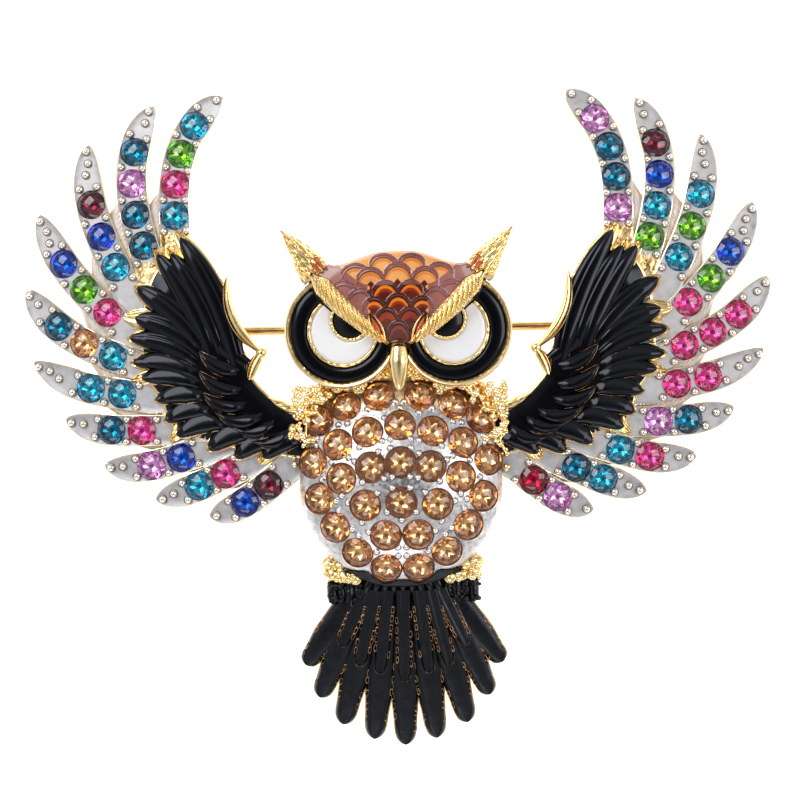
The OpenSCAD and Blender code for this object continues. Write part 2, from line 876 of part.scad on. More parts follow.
module crown_shape() {
    intersection() {
        crown_ball(crown_r);
        translate([0, 0, crown_floor + seat_gap])
            linear_extrude(height = 5)
                crown_cell(-seat_gap);
    }
    for (row = [0:scale_rows - 1])
        intersection() {
            crown_ball(crown_r + scale_step * (scale_rows - row));
            translate([0, 0, crown_floor + 0.3])
                linear_extrude(height = 5)
                    merged()
                        intersection() {
                            crown_cell(-seat_gap - 0.1 - 0.02 * (scale_rows - row));
                            scale_region(row);
                        }
        }
}

// Slim amber inlay at the lower end of a brow
module inlay_plan(grow) {
    run = inlay_long / 2 * inlay_dir;
    leaf(inlay_c - run, inlay_c + run, inlay_w + 2 * grow, 0, VANE);
}

module disc(d, low, high) {
    translate([0, 0, low])
        cylinder(d = d, h = high - low, $fn = 64);
}

module eye_ring_shape() {
    difference() {
        eye_place()
            difference() {
                disc(eye_d - 2 * rim_w - 2 * seat_gap, -eye_floor + seat_gap, 0.1);
                translate([iris_c[0], iris_c[1], 0])
                    disc(iris_d + 2 * seat_gap, -2, 2);
            }
        above_brow(seat_gap);
        beak_room();
    }
}

module eye_white_shape() {
    difference() {
        eye_place()
            difference() {
                translate([iris_c[0], iris_c[1], 0])
                    disc(iris_d - 0.64 - 2 * seat_gap, -eye_floor + seat_gap, 0.08);
                translate([pupil_c[0], pupil_c[1], 0])
                    disc(pupil_d + 2 * seat_gap, -2, 2);
            }
        above_brow(seat_gap);
        beak_room();
    }
}

module pupil_shape() {
    difference() {
        eye_place()
            translate([pupil_c[0], pupil_c[1], 0])
                disc(pupil_d - 0.6 - 2 * seat_gap, -eye_floor + seat_gap, 0.12);
        above_brow(seat_gap);
    }
}

// Clearance for the beak and the bridge behind it
module beak_room() {
    translate([-1.1, brow_in[1] - 5, 0])
        cube([2.2, 6, 20]);
    translate([-9, 0, 0])
        cube([9, half_h, 20]);
}

// Sub-parts
module cast_body() {
    color("gold") {
        both_sides()
            wing_metal();
        torso_metal();
        head_metal();
        plate(0, floor_t)
            merged()
                tail_plan(0.08);
        both_sides() {
            fur();
            foot();
        }
        pin_mounts();
    }
}

module wing_enamel_right() {
    color("black")
        wing_enamel();
}

module wing_enamel_left() {
    color("black")
        mirror([1, 0, 0])
            wing_enamel();
}

module tail_enamel() {
    color("black")
        tail_enamel_shape();
}

module crown_enamel() {
    color("darkorange")
        crown_shape();
}

module brow_inlay_enamel() {
    color("darkorange")
        both_sides()
            translate([0, 0, brow_z - inlay_deep + seat_gap])
                linear_extrude(height = inlay_deep)
                    inlay_plan(0);
}

module eye_ring_enamel_right() {
    color("black")
        eye_ring_shape();
}

module eye_ring_enamel_left() {
    color("black")
        mirror([1, 0, 0])
            eye_ring_shape();
}

module eye_white_enamel_right() {
    color("white")
        eye_white_shape();
}

module eye_white_enamel_left() {
    color("white")
        mirror([1, 0, 0])
            eye_white_shape();
}

module pupil_enamel_right() {
    color("black")
        pupil_shape();
}

module pupil_enamel_left() {
    color("black")
        mirror([1, 0, 0])
            pupil_shape();
}

module stones_topaz() {
    color("peru") {
        for (p = torso_points)
            on_torso(p)
                stone();
        wing_stones("o");
    }
}

module stones_aqua() {
    color("deepskyblue")
        wing_stones("a");
}

module stones_teal() {
    color("teal")
        wing_stones("t");
}

module stones_fuchsia() {
    color("deeppink")
        wing_stones("f");
}

module stones_rose() {
    color("plum")
        wing_stones("r");
}

module stones_sapphire() {
    color("royalblue")
        wing_stones("s");
}

module stones_peridot() {
    color("yellowgreen")
        wing_stones("p");
}

module stones_plum() {
    color("indigo")
        wing_stones("u");
}

module stones_ruby() {
    color("crimson")
        wing_stones("b");
}

module pin_stem() {
    color("silver")
        stem_shape();
}

// Sub-part to show

cast_body();
wing_enamel_left();
wing_enamel_right();
tail_enamel();
crown_enamel();
brow_inlay_enamel();
eye_ring_enamel_left();
eye_ring_enamel_right();
eye_white_enamel_left();
eye_white_enamel_right();
pupil_enamel_left();
pupil_enamel_right();
stones_topaz();
stones_aqua();
stones_teal();
stones_fuchsia();
stones_rose();
stones_sapphire();
stones_peridot();
stones_plum();
stones_ruby();
pin_stem();
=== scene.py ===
"""Figural owl brooch with spread wings. Lengths in this script are millimetres until a mesh is made."""

import random
from collections import namedtuple
from itertools import combinations
from math import asin, copysign, cos, degrees, dist, exp, hypot, pi, radians, sin, sqrt, tan

import bmesh
import bpy
from mathutils import Matrix, Vector
from mathutils.geometry import delaunay_2d_cdt


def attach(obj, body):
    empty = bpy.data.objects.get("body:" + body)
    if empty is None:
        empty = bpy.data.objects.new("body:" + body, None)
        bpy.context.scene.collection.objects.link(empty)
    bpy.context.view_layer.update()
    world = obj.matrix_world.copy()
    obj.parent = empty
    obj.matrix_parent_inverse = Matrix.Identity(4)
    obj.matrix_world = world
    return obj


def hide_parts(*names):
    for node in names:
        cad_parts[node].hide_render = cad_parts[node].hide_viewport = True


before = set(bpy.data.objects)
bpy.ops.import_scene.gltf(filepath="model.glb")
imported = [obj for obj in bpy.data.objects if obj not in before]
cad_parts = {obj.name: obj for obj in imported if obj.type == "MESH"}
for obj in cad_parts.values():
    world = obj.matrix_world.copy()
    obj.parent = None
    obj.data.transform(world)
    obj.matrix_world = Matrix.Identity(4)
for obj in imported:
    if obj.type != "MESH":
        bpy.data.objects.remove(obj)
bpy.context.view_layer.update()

MM = 0.001
WELD = 0.0004 * MM
NOISE_RANGE = (0.30, 0.70)
SPAN, TALL = 74.2, 65.5
HW, HH = SPAN / 2, TALL / 2
DOME_R, DOME_Y = 130.0, 0.185 * HH
TOP = 1.8
FEATHER_W = 3.15
STONE_D = 2.8
STONE_R = STONE_D / 2
BEAD_R = 0.37
TORSO_D, TORSO_H = 20.6, 4.4
EYE_D, EYE_TILT = 11.5, 7.0
WIRE_D, PIN_REACH = 0.85, 38.0
SEAT_DEPTH, HOLE_R, SEAT_R, TORSO_HOLE_R, TORSO_SEAT_R = 1.40, 1.47, 1.45, 1.54, 1.46
SEAT_STEPS = 28
ARM_FOOT, ARM_RIM = 0.06, 1.76
COVER_H, COVER_RISE, VANE_H, UPPER_VANE_H = 1.72, 0.42, 2.0, 2.25
TAIL_H, TAIL_OUTER_H, TAIL_INNER_H, LINE_H = 1.45, 1.35, 1.75, 2.3
FOOT_X, FOOT_Y = 0.127 * HW, -0.497 * HH + 0.1

# x and y place the root stone, pitch, tip and web are in stone diameters, left and right list the colours
Feather = namedtuple("Feather", "x y aim turn pitch stones tip web left right")
FEATHERS = [
    (0.599, 0.638, 89, 61, 1.12, 4, 1.46, 0.95, "afpa", "rttr"),
    (0.685, 0.548, 74, 53, 1.14, 4, 1.61, 1.50, "ttrt", "pasu"),
    (0.762, 0.484, 64, 36, 1.21, 3, 2.03, 1.00, "asu", "apa"),
    (0.786, 0.345, 44, 30, 1.19, 3, 1.83, 1.00, "fps", "fps"),
    (0.773, 0.212, 22, 42, 1.13, 3, 1.66, 0.75, "aot", "fff"),
    (0.750, 0.095, 9, 30, 1.15, 2, 2.25, 0.60, "aa", "ff"),
    (0.698, -0.018, 0, 24, 1.09, 2, 1.68, 0.60, "ft", "rt"),
    (0.593, -0.103, -17, 31, 1.10, 2, 1.67, 0.50, "sr", "af"),
    (0.473, -0.155, -25, 15, 1.05, 2, 1.59, 0.50, "fa", "ta"),
    (0.358, -0.191, -39, 31, 1.03, 2, 1.37, 0.00, "us", "br"),
]
# what the visible tips and webs add to the solid's, in stone diameters
TIP_MORE = (0.00, 0.18, 0.15, 0.16, 0.10, 0.04, 0.04, 0.04, 0.04, 0.00)
WEB_MORE = (0.30, 0.32, 0.25, 0.15, 0.10, 0.10, 0.10, 0.10, 0.10, 0.00)
FEATHERS = [Feather(*f[:6], f[6] + t, f[7] + w, *f[8:]) for f, t, w in zip(FEATHERS, TIP_MORE, WEB_MORE)]
# root, tip, width share, bow
VANES = [
    (0.429, 0.156, 0.557, 0.580, 0.95, 0.05),
    (0.476, 0.218, 0.582, 0.529, 0.85, 0.04),
    (0.503, 0.218, 0.620, 0.527, 0.90, 0.05),
    (0.522, 0.225, 0.670, 0.418, 0.95, 0.06),
    (0.536, 0.219, 0.702, 0.330, 0.95, 0.08),
    (0.542, 0.189, 0.718, 0.266, 0.80, 0.09),
    (0.545, 0.152, 0.714, 0.192, 0.75, 0.09),
    (0.540, 0.121, 0.701, 0.143, 0.70, 0.08),
    (0.530, 0.084, 0.654, 0.078, 0.75, 0.08),
    (0.512, 0.041, 0.631, 0.016, 0.80, 0.10),
    (0.469, -0.002, 0.607, -0.036, 0.80, 0.12),
    (0.405, -0.034, 0.516, -0.075, 0.80, 0.12),
    (0.338, -0.054, 0.444, -0.101, 0.80, 0.12),
    (0.275, -0.056, 0.374, -0.108, 0.75, 0.12),
]
UPPER_VANES = [
    (0.434, 0.153, 0.538, 0.222, 0.55, -0.10),
    (0.430, 0.095, 0.539, 0.161, 0.55, -0.12),
    (0.417, 0.051, 0.530, 0.094, 0.55, -0.14),
    (0.372, 0.017, 0.498, 0.038, 0.55, -0.16),
    (0.340, -0.005, 0.453, -0.012, 0.50, -0.16),
    (0.297, -0.031, 0.400, -0.056, 0.50, -0.16),
]
HEEL_VANES = [(0.409, 0.180, 0.492, 0.350, 2.1, -0.14), (0.425, 0.195, 0.470, 0.300, 1.9, -0.16)]
# powers of the tip's curve, share of the width at the root and length of its growth
LEAF_KINDS = {"brow": (3.2, 0.8, 0.35, 0.16), "band": (6, 0.6, 0.35, 0.25), "blunt": (5, 0.6, 0.55, 0.35),
              "vane": (2.6, 0.8, 0.55, 0.35)}
ARM = [
    (0.531, 0.531), (0.508, 0.417), (0.490, 0.368), (0.415, 0.217), (0.398, 0.145), (0.338, 0.068),
    (0.285, 0.028), (0.235, 0.020), (0.180, -0.040), (0.180, -0.110), (0.371, -0.094), (0.516, -0.060),
    (0.615, -0.012), (0.646, 0.075), (0.690, 0.152), (0.695, 0.256), (0.680, 0.326), (0.655, 0.405),
    (0.605, 0.496),
]
TAIL_OUTER = [(0.267, -0.746, 0.88), (0.231, -0.847, 0.90), (0.169, -0.932, 0.95), (0.085, -0.979, 0.95),
              (0.000, -0.999, 0.95)]
TAIL_INNER = [(0.171, -0.693, 0.55), (0.123, -0.754, 0.55), (0.067, -0.779, 0.55), (0.000, -0.804, 0.55)]
TAIL_BASE = [(0.090, -0.475), (0.203, -0.475), (0.203, -0.532), (0.174, -0.575), (0.215, -0.700),
             (0.000, -0.880)]
TORSO_STONES = [
    (0.199, 0.834), (0.519, 0.742), (0.777, 0.601), (0.000, 0.553), (0.315, 0.492), (0.602, 0.378),
    (0.000, 0.200), (0.288, 0.155), (0.573, 0.050), (0.845, 0.208), (0.000, -0.190), (0.350, -0.210),
    (0.791, -0.142), (0.641, -0.418), (0.157, -0.501), (0.432, -0.666), (0.157, -0.821),
]


# Small helpers

def mix(a, b, t):
    return a + (b - a) * t


def smooth(t):
    t = min(max(t, 0.0), 1.0)
    return t * t * (3 - 2 * t)


def bulge(v, power, root):
    """Rounded section across a leaf: 1 in the middle and 0 at the edges."""
    return max(1 - abs(v) ** power, 0) ** root


def angle(k, n):
    return 2 * pi * k / n


def shares(n):
    """Even steps from 0 to 1."""
    return [i / n for i in range(n + 1)]


def sine(deg):
    return sin(radians(deg))


def cosine(deg):
    return cos(radians(deg))


def rotation(deg, axis):
    return Matrix.Rotation(radians(deg), 4, axis)


def hoop(place, r, z, n):
    """Points on a circle about the axis of place."""
    return [place @ Vector((r * cos(angle(k, n)), r * sin(angle(k, n)), z)) for k in range(n)]


def inside(p, loop):
    x, y = p
    hit = False
    for i in range(len(loop)):
        (x1, y1), (x2, y2) = loop[i - 1][:2], loop[i][:2]
        if (y1 > y) != (y2 > y) and x < (x2 - x1) * (y - y1) / (y2 - y1) + x1:
            hit = not hit
    return hit


def gap_to(p, loop):
    """Distance from a plan point to an outline."""
    best = 1e9
    for i in range(len(loop)):
        ax, ay = loop[i - 1][:2]
        bx, by = loop[i][:2]
        dx, dy = bx - ax, by - ay
        t = min(max(((p[0] - ax) * dx + (p[1] - ay) * dy) / (dx * dx + dy * dy + 1e-12), 0), 1)
        best = min(best, hypot(p[0] - ax - t * dx, p[1] - ay - t * dy))
    return best


def within(p, loop, gap, holes=(), hole_gap=0.0):
    """True for a plan point well inside an outline and clear of its holes."""
    return inside(p, loop) and gap_to(p, loop) > gap and not any(
        inside(p, h) or gap_to(p, h) < hole_gap for h in holes)


class Shape:
    """Points in millimetres and faces with a material number each, made into one piece."""

    def __init__(self, name, materials=(), body="brooch"):
        self.name, self.materials, self.body = name, materials, body
        self.points, self.faces, self.slots, self.flat = [], [], [], []

    def add(self, points, faces, slot=0, flat=False):
        n = len(self.points)
        self.points += [tuple(p) for p in points]
        self.faces += [tuple(n + i for i in f) for f in faces]
        self.slots += slot if isinstance(slot, list) else [slot] * len(faces)
        self.flat += [flat] * len(faces)

    def onto(self, shape, side):
        """Adds this shape to another, mirrored for the left side."""
        shape.add([(side * x, y, z) for x, y, z in self.points], self.faces, self.slots)

    def grid(self, rows, slot=0, loop=False):
        w = len(rows[0])
        faces, slots = [], []
        for i in range(len(rows) - 1):
            for j in range(w if loop else w - 1):
                k = (j + 1) % w
                faces.append((i * w + j, i * w + k, (i + 1) * w + k, (i + 1) * w + j))
                slots.append(slot(i, j) if callable(slot) else slot)
        self.add([p for r in rows for p in r], faces, slots)

    def ball(self, c, r, slot=0, n=12, m=7, squash=1.0):
        rows = []
        for i in range(m + 1):
            a = pi * (i + 0.001) / (m + 0.002)
            rows.append([(c[0] + r * sin(a) * cos(angle(j, n)), c[1] + r * sin(a) * sin(angle(j, n)),
                          c[2] + r * squash * cos(a)) for j in range(n)])
        self.grid(rows, slot, loop=True)

    def tube(self, path, radii, slot=0, n=6, closed=False):
        path = [Vector(p) for p in path]
        if not isinstance(radii, list):
            radii = [radii] * len(path)
        rows = []
        for i, p in enumerate(path):
            a = path[(i - 1) % len(path)] if (i or closed) else p
            b = path[(i + 1) % len(path)] if (i < len(path) - 1 or closed) else p
            d = (b - a).normalized()
            u = d.cross(Vector((0, 0, 1)))
            u = u.normalized() if u.length > 1e-4 else Vector((1, 0, 0))
            w = u.cross(d)
            rows.append([p + (u * cos(angle(k, n)) + w * sin(angle(k, n))) * radii[i] for k in range(n)])
        if closed:
            rows.append(rows[0])
        self.grid(rows, slot, loop=True)

    def sheet(self, outer, holes, lift, slot=0, inner=()):
        """Fills a plan outline, less the holes, with triangles, and lifts each point."""
        points, edges = [], []
        for loop in [outer, *holes]:
            n = len(points)
            points += [Vector(p[:2]) for p in loop]
            edges += [(n + i, n + (i + 1) % len(loop)) for i in range(len(loop))]
        points += [Vector(p) for p in inner]
        out, _, tris, *_ = delaunay_2d_cdt(points, edges, [], 0, 1e-5)
        keep = []
        for t in tris:
            c = (sum(out[i][0] for i in t) / len(t), sum(out[i][1] for i in t) / len(t))
            if inside(c, outer) and not any(inside(c, h) for h in holes):
                keep.append(tuple(t))
        self.add([(p[0], p[1], lift(p[0], p[1])) for p in out], keep, slot)

    def lathe(self, place, profile, slot, n):
        """Turns a profile of (radius, height) about the axis of place."""
        self.grid([hoop(place, r, z, n) for r, z in profile], slot, loop=True)

    def build(self, replaces, slot_name, sharp=38):
        mesh = bpy.data.meshes.new(self.name)
        mesh.from_pydata([Vector(p) * MM for p in self.points], [], self.faces)
        for m in self.materials:
            mesh.materials.append(m)
        mesh.polygons.foreach_set("material_index", self.slots)
        mesh.polygons.foreach_set("use_smooth", [not f for f in self.flat])
        bm = bmesh.new()
        bm.from_mesh(mesh)
        bmesh.ops.remove_doubles(bm, verts=bm.verts, dist=WELD)
        bmesh.ops.dissolve_degenerate(bm, edges=bm.edges, dist=WELD / 2)
        loose = [v for v in bm.verts if not v.link_faces]
        bmesh.ops.delete(bm, geom=loose, context="VERTS")
        bmesh.ops.recalc_face_normals(bm, faces=bm.faces)
        bm.to_mesh(mesh)
        bm.free()
        mesh.set_sharp_from_angle(angle=radians(sharp))
        obj = bpy.data.objects.new(self.name, mesh)
        bpy.context.scene.collection.objects.link(obj)
        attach(obj, self.body)
        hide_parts(*replaces)


# Materials

def put(node, values):
    for key, value in values.items():
        node.inputs[key].default_value = value


def material(name, colour, dark, rough, metal, scale, bump=0.0, bump_scale=0, glass=0.0, ior=1.5, coat=0.0,
             tint=(1, 1, 1), detail=4.0):
    """A material whose colour, roughness and bump come from procedural noise."""
    mat = bpy.data.materials.new(name)
    mat.use_nodes = True
    nodes, links = mat.node_tree.nodes, mat.node_tree.links
    shader = nodes["Principled BSDF"]
    put(shader, {"Metallic": metal, "IOR": ior, "Transmission Weight": glass, "Coat Weight": coat,
                 "Coat Roughness": 0.04, "Specular Tint": (*tint, 1)})
    where = nodes.new("ShaderNodeTexCoord")
    noise = nodes.new("ShaderNodeTexNoise")
    put(noise, {"Scale": scale, "Detail": detail})
    links.new(where.outputs["Object"], noise.inputs["Vector"])
    ramp = nodes.new("ShaderNodeValToRGB")
    for element, position, shade in zip(ramp.color_ramp.elements, NOISE_RANGE, (dark, colour)):
        element.position, element.color = position, (*shade, 1)
    links.new(noise.outputs["Fac"], ramp.inputs["Fac"])
    links.new(ramp.outputs["Color"], shader.inputs["Base Color"])
    spread = nodes.new("ShaderNodeMapRange")
    put(spread, {"From Min": NOISE_RANGE[0], "From Max": NOISE_RANGE[1]})
    put(spread, {"To Min": rough[0], "To Max": rough[1]})
    links.new(noise.outputs["Fac"], spread.inputs["Value"])
    links.new(spread.outputs["Result"], shader.inputs["Roughness"])
    if bump:
        grain = nodes.new("ShaderNodeTexNoise")
        put(grain, {"Scale": bump_scale, "Detail": 3.0})
        links.new(where.outputs["Object"], grain.inputs["Vector"])
        relief = nodes.new("ShaderNodeBump")
        put(relief, {"Strength": 1.0, "Distance": bump * MM})
        links.new(grain.outputs["Fac"], relief.inputs["Height"])
        links.new(relief.outputs["Normal"], shader.inputs["Normal"])
    return mat


GOLD = material("gold_plate", (1.0, 0.78, 0.40), (0.95, 0.66, 0.27), (0.14, 0.26), 1.0, 700, 0.012, 2500)
PALE_GOLD = material("pale_gold_plate", (1.0, 0.86, 0.60), (0.96, 0.76, 0.46), (0.16, 0.28), 1.0, 700,
                     0.008, 2000)
ROSE_GOLD = material("copper_line", (0.66, 0.38, 0.20), (0.14, 0.06, 0.03), (0.16, 0.34), 1.0, 1500, 0.0)
SILVER = material("silver_plate", (0.60, 0.585, 0.59), (0.44, 0.43, 0.435), (0.50, 0.66), 1.0, 1100,
                  0.030, 1500)
BRIGHT = material("bright_silver", (0.84, 0.82, 0.82), (0.60, 0.57, 0.57), (0.22, 0.44), 1.0, 2400,
                  0.035, 2200)
WEB = material("satin_web", (0.90, 0.90, 0.93), (0.76, 0.76, 0.80), (0.30, 0.45), 0.15, 900, 0.010, 2500)
ROOT = material("cast_gold_roots", (1.0, 0.74, 0.38), (0.70, 0.42, 0.16), (0.20, 0.40), 1.0, 1100, 0.22, 1000)
BEAD = material("prong_metal", (0.97, 0.93, 0.86), (0.86, 0.76, 0.62), (0.05, 0.12), 1.0, 1500, 0.0)
STUD = material("bright_stud", (0.96, 0.96, 0.97), (0.80, 0.79, 0.80), (0.06, 0.14), 1.0, 1500, 0.0)
# seat_shadow: dark metal of painted shade on the walls of the stones' seat holes, and in the dark rings of
# painted shadow round the beads and studs
SEAT = material("seat_shadow", (0.34, 0.29, 0.26), (0.20, 0.16, 0.14), (0.30, 0.5), 1.0, 1500, 0.0)
BEZEL = material("brown_bezel", (0.16, 0.065, 0.035), (0.06, 0.025, 0.015), (0.25, 0.45), 0.6, 1800, 0.0)
BLACK = material("black_enamel_gloss", (0.002, 0.002, 0.003), (0.001, 0.001, 0.001), (0.08, 0.16), 0.0, 500,
                 0.008, 420, ior=1.40, tint=(0.84, 0.88, 1.0))
MATT = material("black_enamel_tail", (0.003, 0.003, 0.003), (0.001, 0.001, 0.001), (0.20, 0.38), 0.0, 900,
                0.05, 700, ior=1.40, tint=(0.84, 0.88, 1.0))
TEXTURED = material("black_enamel_cast", (0.004, 0.004, 0.004), (0.001, 0.001, 0.001), (0.12, 0.28), 0.0,
                    1500, 0.09, 1600, ior=1.40, tint=(0.84, 0.88, 1.0))
WHITE = material("white_enamel_gloss", (0.86, 0.86, 0.87), (0.80, 0.80, 0.82), (0.08, 0.16), 0.0, 250,
                 coat=0.4)
BACK = material("satin_gold_back", (0.92, 0.72, 0.42), (0.80, 0.58, 0.30), (0.26, 0.44), 1.0, 350, 0.02, 1200)
WIRE = material("pin_wire_gold", (0.95, 0.66, 0.30), (0.78, 0.48, 0.18), (0.14, 0.28), 1.0, 900, 0.004, 3000)


def amber(name, light, dark):
    return material(name, light, dark, (0.05, 0.12), 0.0, 420, 0.006, 700, coat=0.6, detail=2.0)


AMBER_CELL = amber("amber_cell", (0.76, 0.27, 0.05), (0.58, 0.15, 0.025))
AMBER_PALE = amber("amber_pale", (0.86, 0.42, 0.15), (0.70, 0.27, 0.07))
AMBER_LIT = amber("amber_lit", (0.86, 0.24, 0.01), (0.60, 0.10, 0.01))
AMBER_DEEP = amber("amber_deep", (0.14, 0.016, 0.005), (0.06, 0.006, 0.003))
AMBER_RED = amber("amber_red", (0.32, 0.036, 0.008), (0.16, 0.014, 0.004))
AMBER_LINE = amber("mauve_line", (0.17, 0.058, 0.055), (0.11, 0.033, 0.032))
AMBER_HAZE = amber("mauve_haze", (0.36, 0.14, 0.12), (0.24, 0.075, 0.060))
AMBER_DARK = amber("dark_line", (0.050, 0.008, 0.005), (0.022, 0.004, 0.003))
AMBER_INLAY = amber("amber_inlay", (0.55, 0.10, 0.015), (0.28, 0.04, 0.01))

# colour of the foil behind each stone, and of the glass
STONE_COLOURS = {
    "topaz": ((1.0, 0.60, 0.30), (1.0, 0.86, 0.70)),
    "aqua": ((0.04, 0.51, 0.68), (0.40, 0.86, 0.95)),
    "teal": ((0.01, 0.31, 0.44), (0.21, 0.66, 0.79)),
    "fuchsia": ((0.99, 0.12, 0.43), (0.99, 0.57, 0.79)),
    "rose": ((0.97, 0.54, 0.90), (0.99, 0.80, 0.97)),
    "sapphire": ((0.01, 0.16, 0.67), (0.27, 0.52, 0.93)),
    "peridot": ((0.30, 0.66, 0.06), (0.71, 0.94, 0.43)),
    "plum": ((0.30, 0.05, 0.09), (0.60, 0.29, 0.36)),
    "ruby": ((0.56, 0.005, 0.11), (0.89, 0.15, 0.33)),
}
CODES = {"a": "aqua", "t": "teal", "f": "fuchsia", "r": "rose", "s": "sapphire", "p": "peridot", "u": "plum",
         "b": "ruby", "o": "topaz"}
GLASS, FOIL = {}, {}
for key, (foil, glass) in STONE_COLOURS.items():
    GLASS[key] = material("glass_" + key, glass, tuple(c * 0.97 for c in glass), (0.0, 0.01), 0.0, 300,
                          glass=1.0, ior=1.62)
    FOIL[key] = material("foil_" + key, foil, tuple(c * 0.86 for c in foil), (0.02, 0.07), 0.86, 900)


# The wing's ball and the feathers on it

def feather_pitch(f):
    return max(f.pitch * STONE_D, STONE_D + 0.12)


def last_stone(f):
    return (f.stones - 1) * feather_pitch(f)


def reach(f):
    return last_stone(f) + f.tip * STONE_D


def heading(f, s):
    return f.aim + f.turn * (max(s, 0) / reach(f)) ** 1.5


def along(f, s, off=0.0):
    """Plan point at a distance from the root stone along a feather's curve, moved sideways by off."""
    n = 12
    x, y = f.x * HW, f.y * HH
    for k in range(n):
        a = heading(f, (k + 0.5) * s / n)
        x += cosine(a) * s / n
        y += sine(a) * s / n
    a = heading(f, s)
    return x - off * sine(a), y + off * cosine(a)


TIP_REACH = max(dist(along(f, reach(f) - t * STONE_D), (0, DOME_Y)) for f, t in zip(FEATHERS, TIP_MORE))
BASE_Z = DOME_R - sqrt(DOME_R ** 2 - TIP_REACH ** 2) + 0.08
CENTRE_Z = BASE_Z - DOME_R
WING_C = Vector((0, DOME_Y, CENTRE_Z))


def wing_z(x, y, h):
    return CENTRE_Z + sqrt((DOME_R + h) ** 2 - x * x - (y - DOME_Y) ** 2)


def on_wing(x, y, h):
    return (x, y, wing_z(x, y, h))


def stand(centre, r, x, y, turn=0.0):
    """A place on a ball above the plan point x, y, its Z pointing outwards."""
    c = Vector(centre)
    p = Vector((x, y, c.z + sqrt(max(r * r - (x - c.x) ** 2 - (y - c.y) ** 2, 0.01))))
    n = (p - c).normalized()
    a = Vector((1, 0, 0))
    a = (a - n * a.dot(n)).normalized()
    b = n.cross(a)
    m = Matrix((a, b, n)).transposed().to_4x4()
    return Matrix.Translation(p) @ m @ Matrix.Rotation(turn, 4, "Z")


# Cut stones: table, stars, kites and girdle facets in glass, a faceted pavilion in foil

def add_stone(shape, place, r=1.43):
    crown, girdle, depth = 0.5, 0.12, 1.30
    table, kite, low = 0.56 * r, 0.80 * r, 0.42 * r
    kite_z = crown * (r - kite * cosine(22.5)) / (r - table)
    low_z = -depth + 0.80 * (depth - girdle) * low * cosine(22.5) / r
    pts = []
    for radius, z, n, start in ((table, crown, 8, 0), (kite, kite_z, 8, 22.5), (r, 0, 16, 0),
                                (r, -girdle, 16, 0), (low, low_z, 8, 22.5)):
        turns = [360 / n * k + start for k in range(n)]
        pts += [(radius * cosine(a), radius * sine(a), z) for a in turns]
    pts += [(0, 0, -depth)]
    faces, slots = [tuple(range(8))], [0]
    for k in range(8):
        j = (k + 1) % 8
        g, g1, g2 = 16 + 2 * k, 16 + 2 * k + 1, 16 + (2 * k + 2) % 16
        faces += [(k, 8 + k, j), (k, 8 + (k - 1) % 8, g, 8 + k), (8 + k, g, g1), (8 + k, g1, g2),
                  (g, g + 16, g1 + 16, g1), (g1, g1 + 16, g2 + 16, g2),
                  (48 + k, g1 + 16, g + 16), (48 + k, g2 + 16, g1 + 16),
                  (56, 48 + k, g + 16, 48 + (k - 1) % 8)]
        slots += [0] * 6 + [1] * 3
    shape.add([place @ Vector(p) for p in pts], faces, slots, flat=True)


STONES = {key: Shape("cut_" + key, [GLASS[key], FOIL[key]]) for key in STONE_COLOURS}
chance = random.Random(11)


def wobble(most):
    """A small turn of a stone in its seat."""
    return rotation(chance.uniform(-most, most), "X") @ rotation(chance.uniform(-most, most), "Y")


def add_seat(shape, place, r, top, slot):
    """Narrowing hole round a stone, from the ring of top points down."""
    n = len(top)
    shape.grid([top, hoop(place, r, -0.32, n), hoop(place, 0.3, -SEAT_DEPTH, n)], slot, loop=True)


# Stone-set feathers

def feather_loop(f, d):
    """Outline of a feather, moved inwards by d, as plan points from the root's right side round the tip."""
    last, run = last_stone(f), f.tip * STONE_D - 1.1 * d
    right, left = [], []
    body = 5 * f.stones + 4
    steps = [-2.3 * STONE_D + (last + 2.3 * STONE_D) * k / body for k in range(body + 1)]
    steps += [last + run * (1 - (1 - k / 12) ** 1.6) for k in range(1, 13)]
    for s in steps:
        u = max((s - last) / run, 0)
        root = 1 - 0.2 * smooth((-s - 3.2) / 1.5)
        w = max(max(1 - u ** 2.3, 0) ** 0.62, 0.05) * (FEATHER_W / 2 - d) * root
        right.append(along(f, s, -w))
        left.append(along(f, s, w))
    return right + left[::-1]


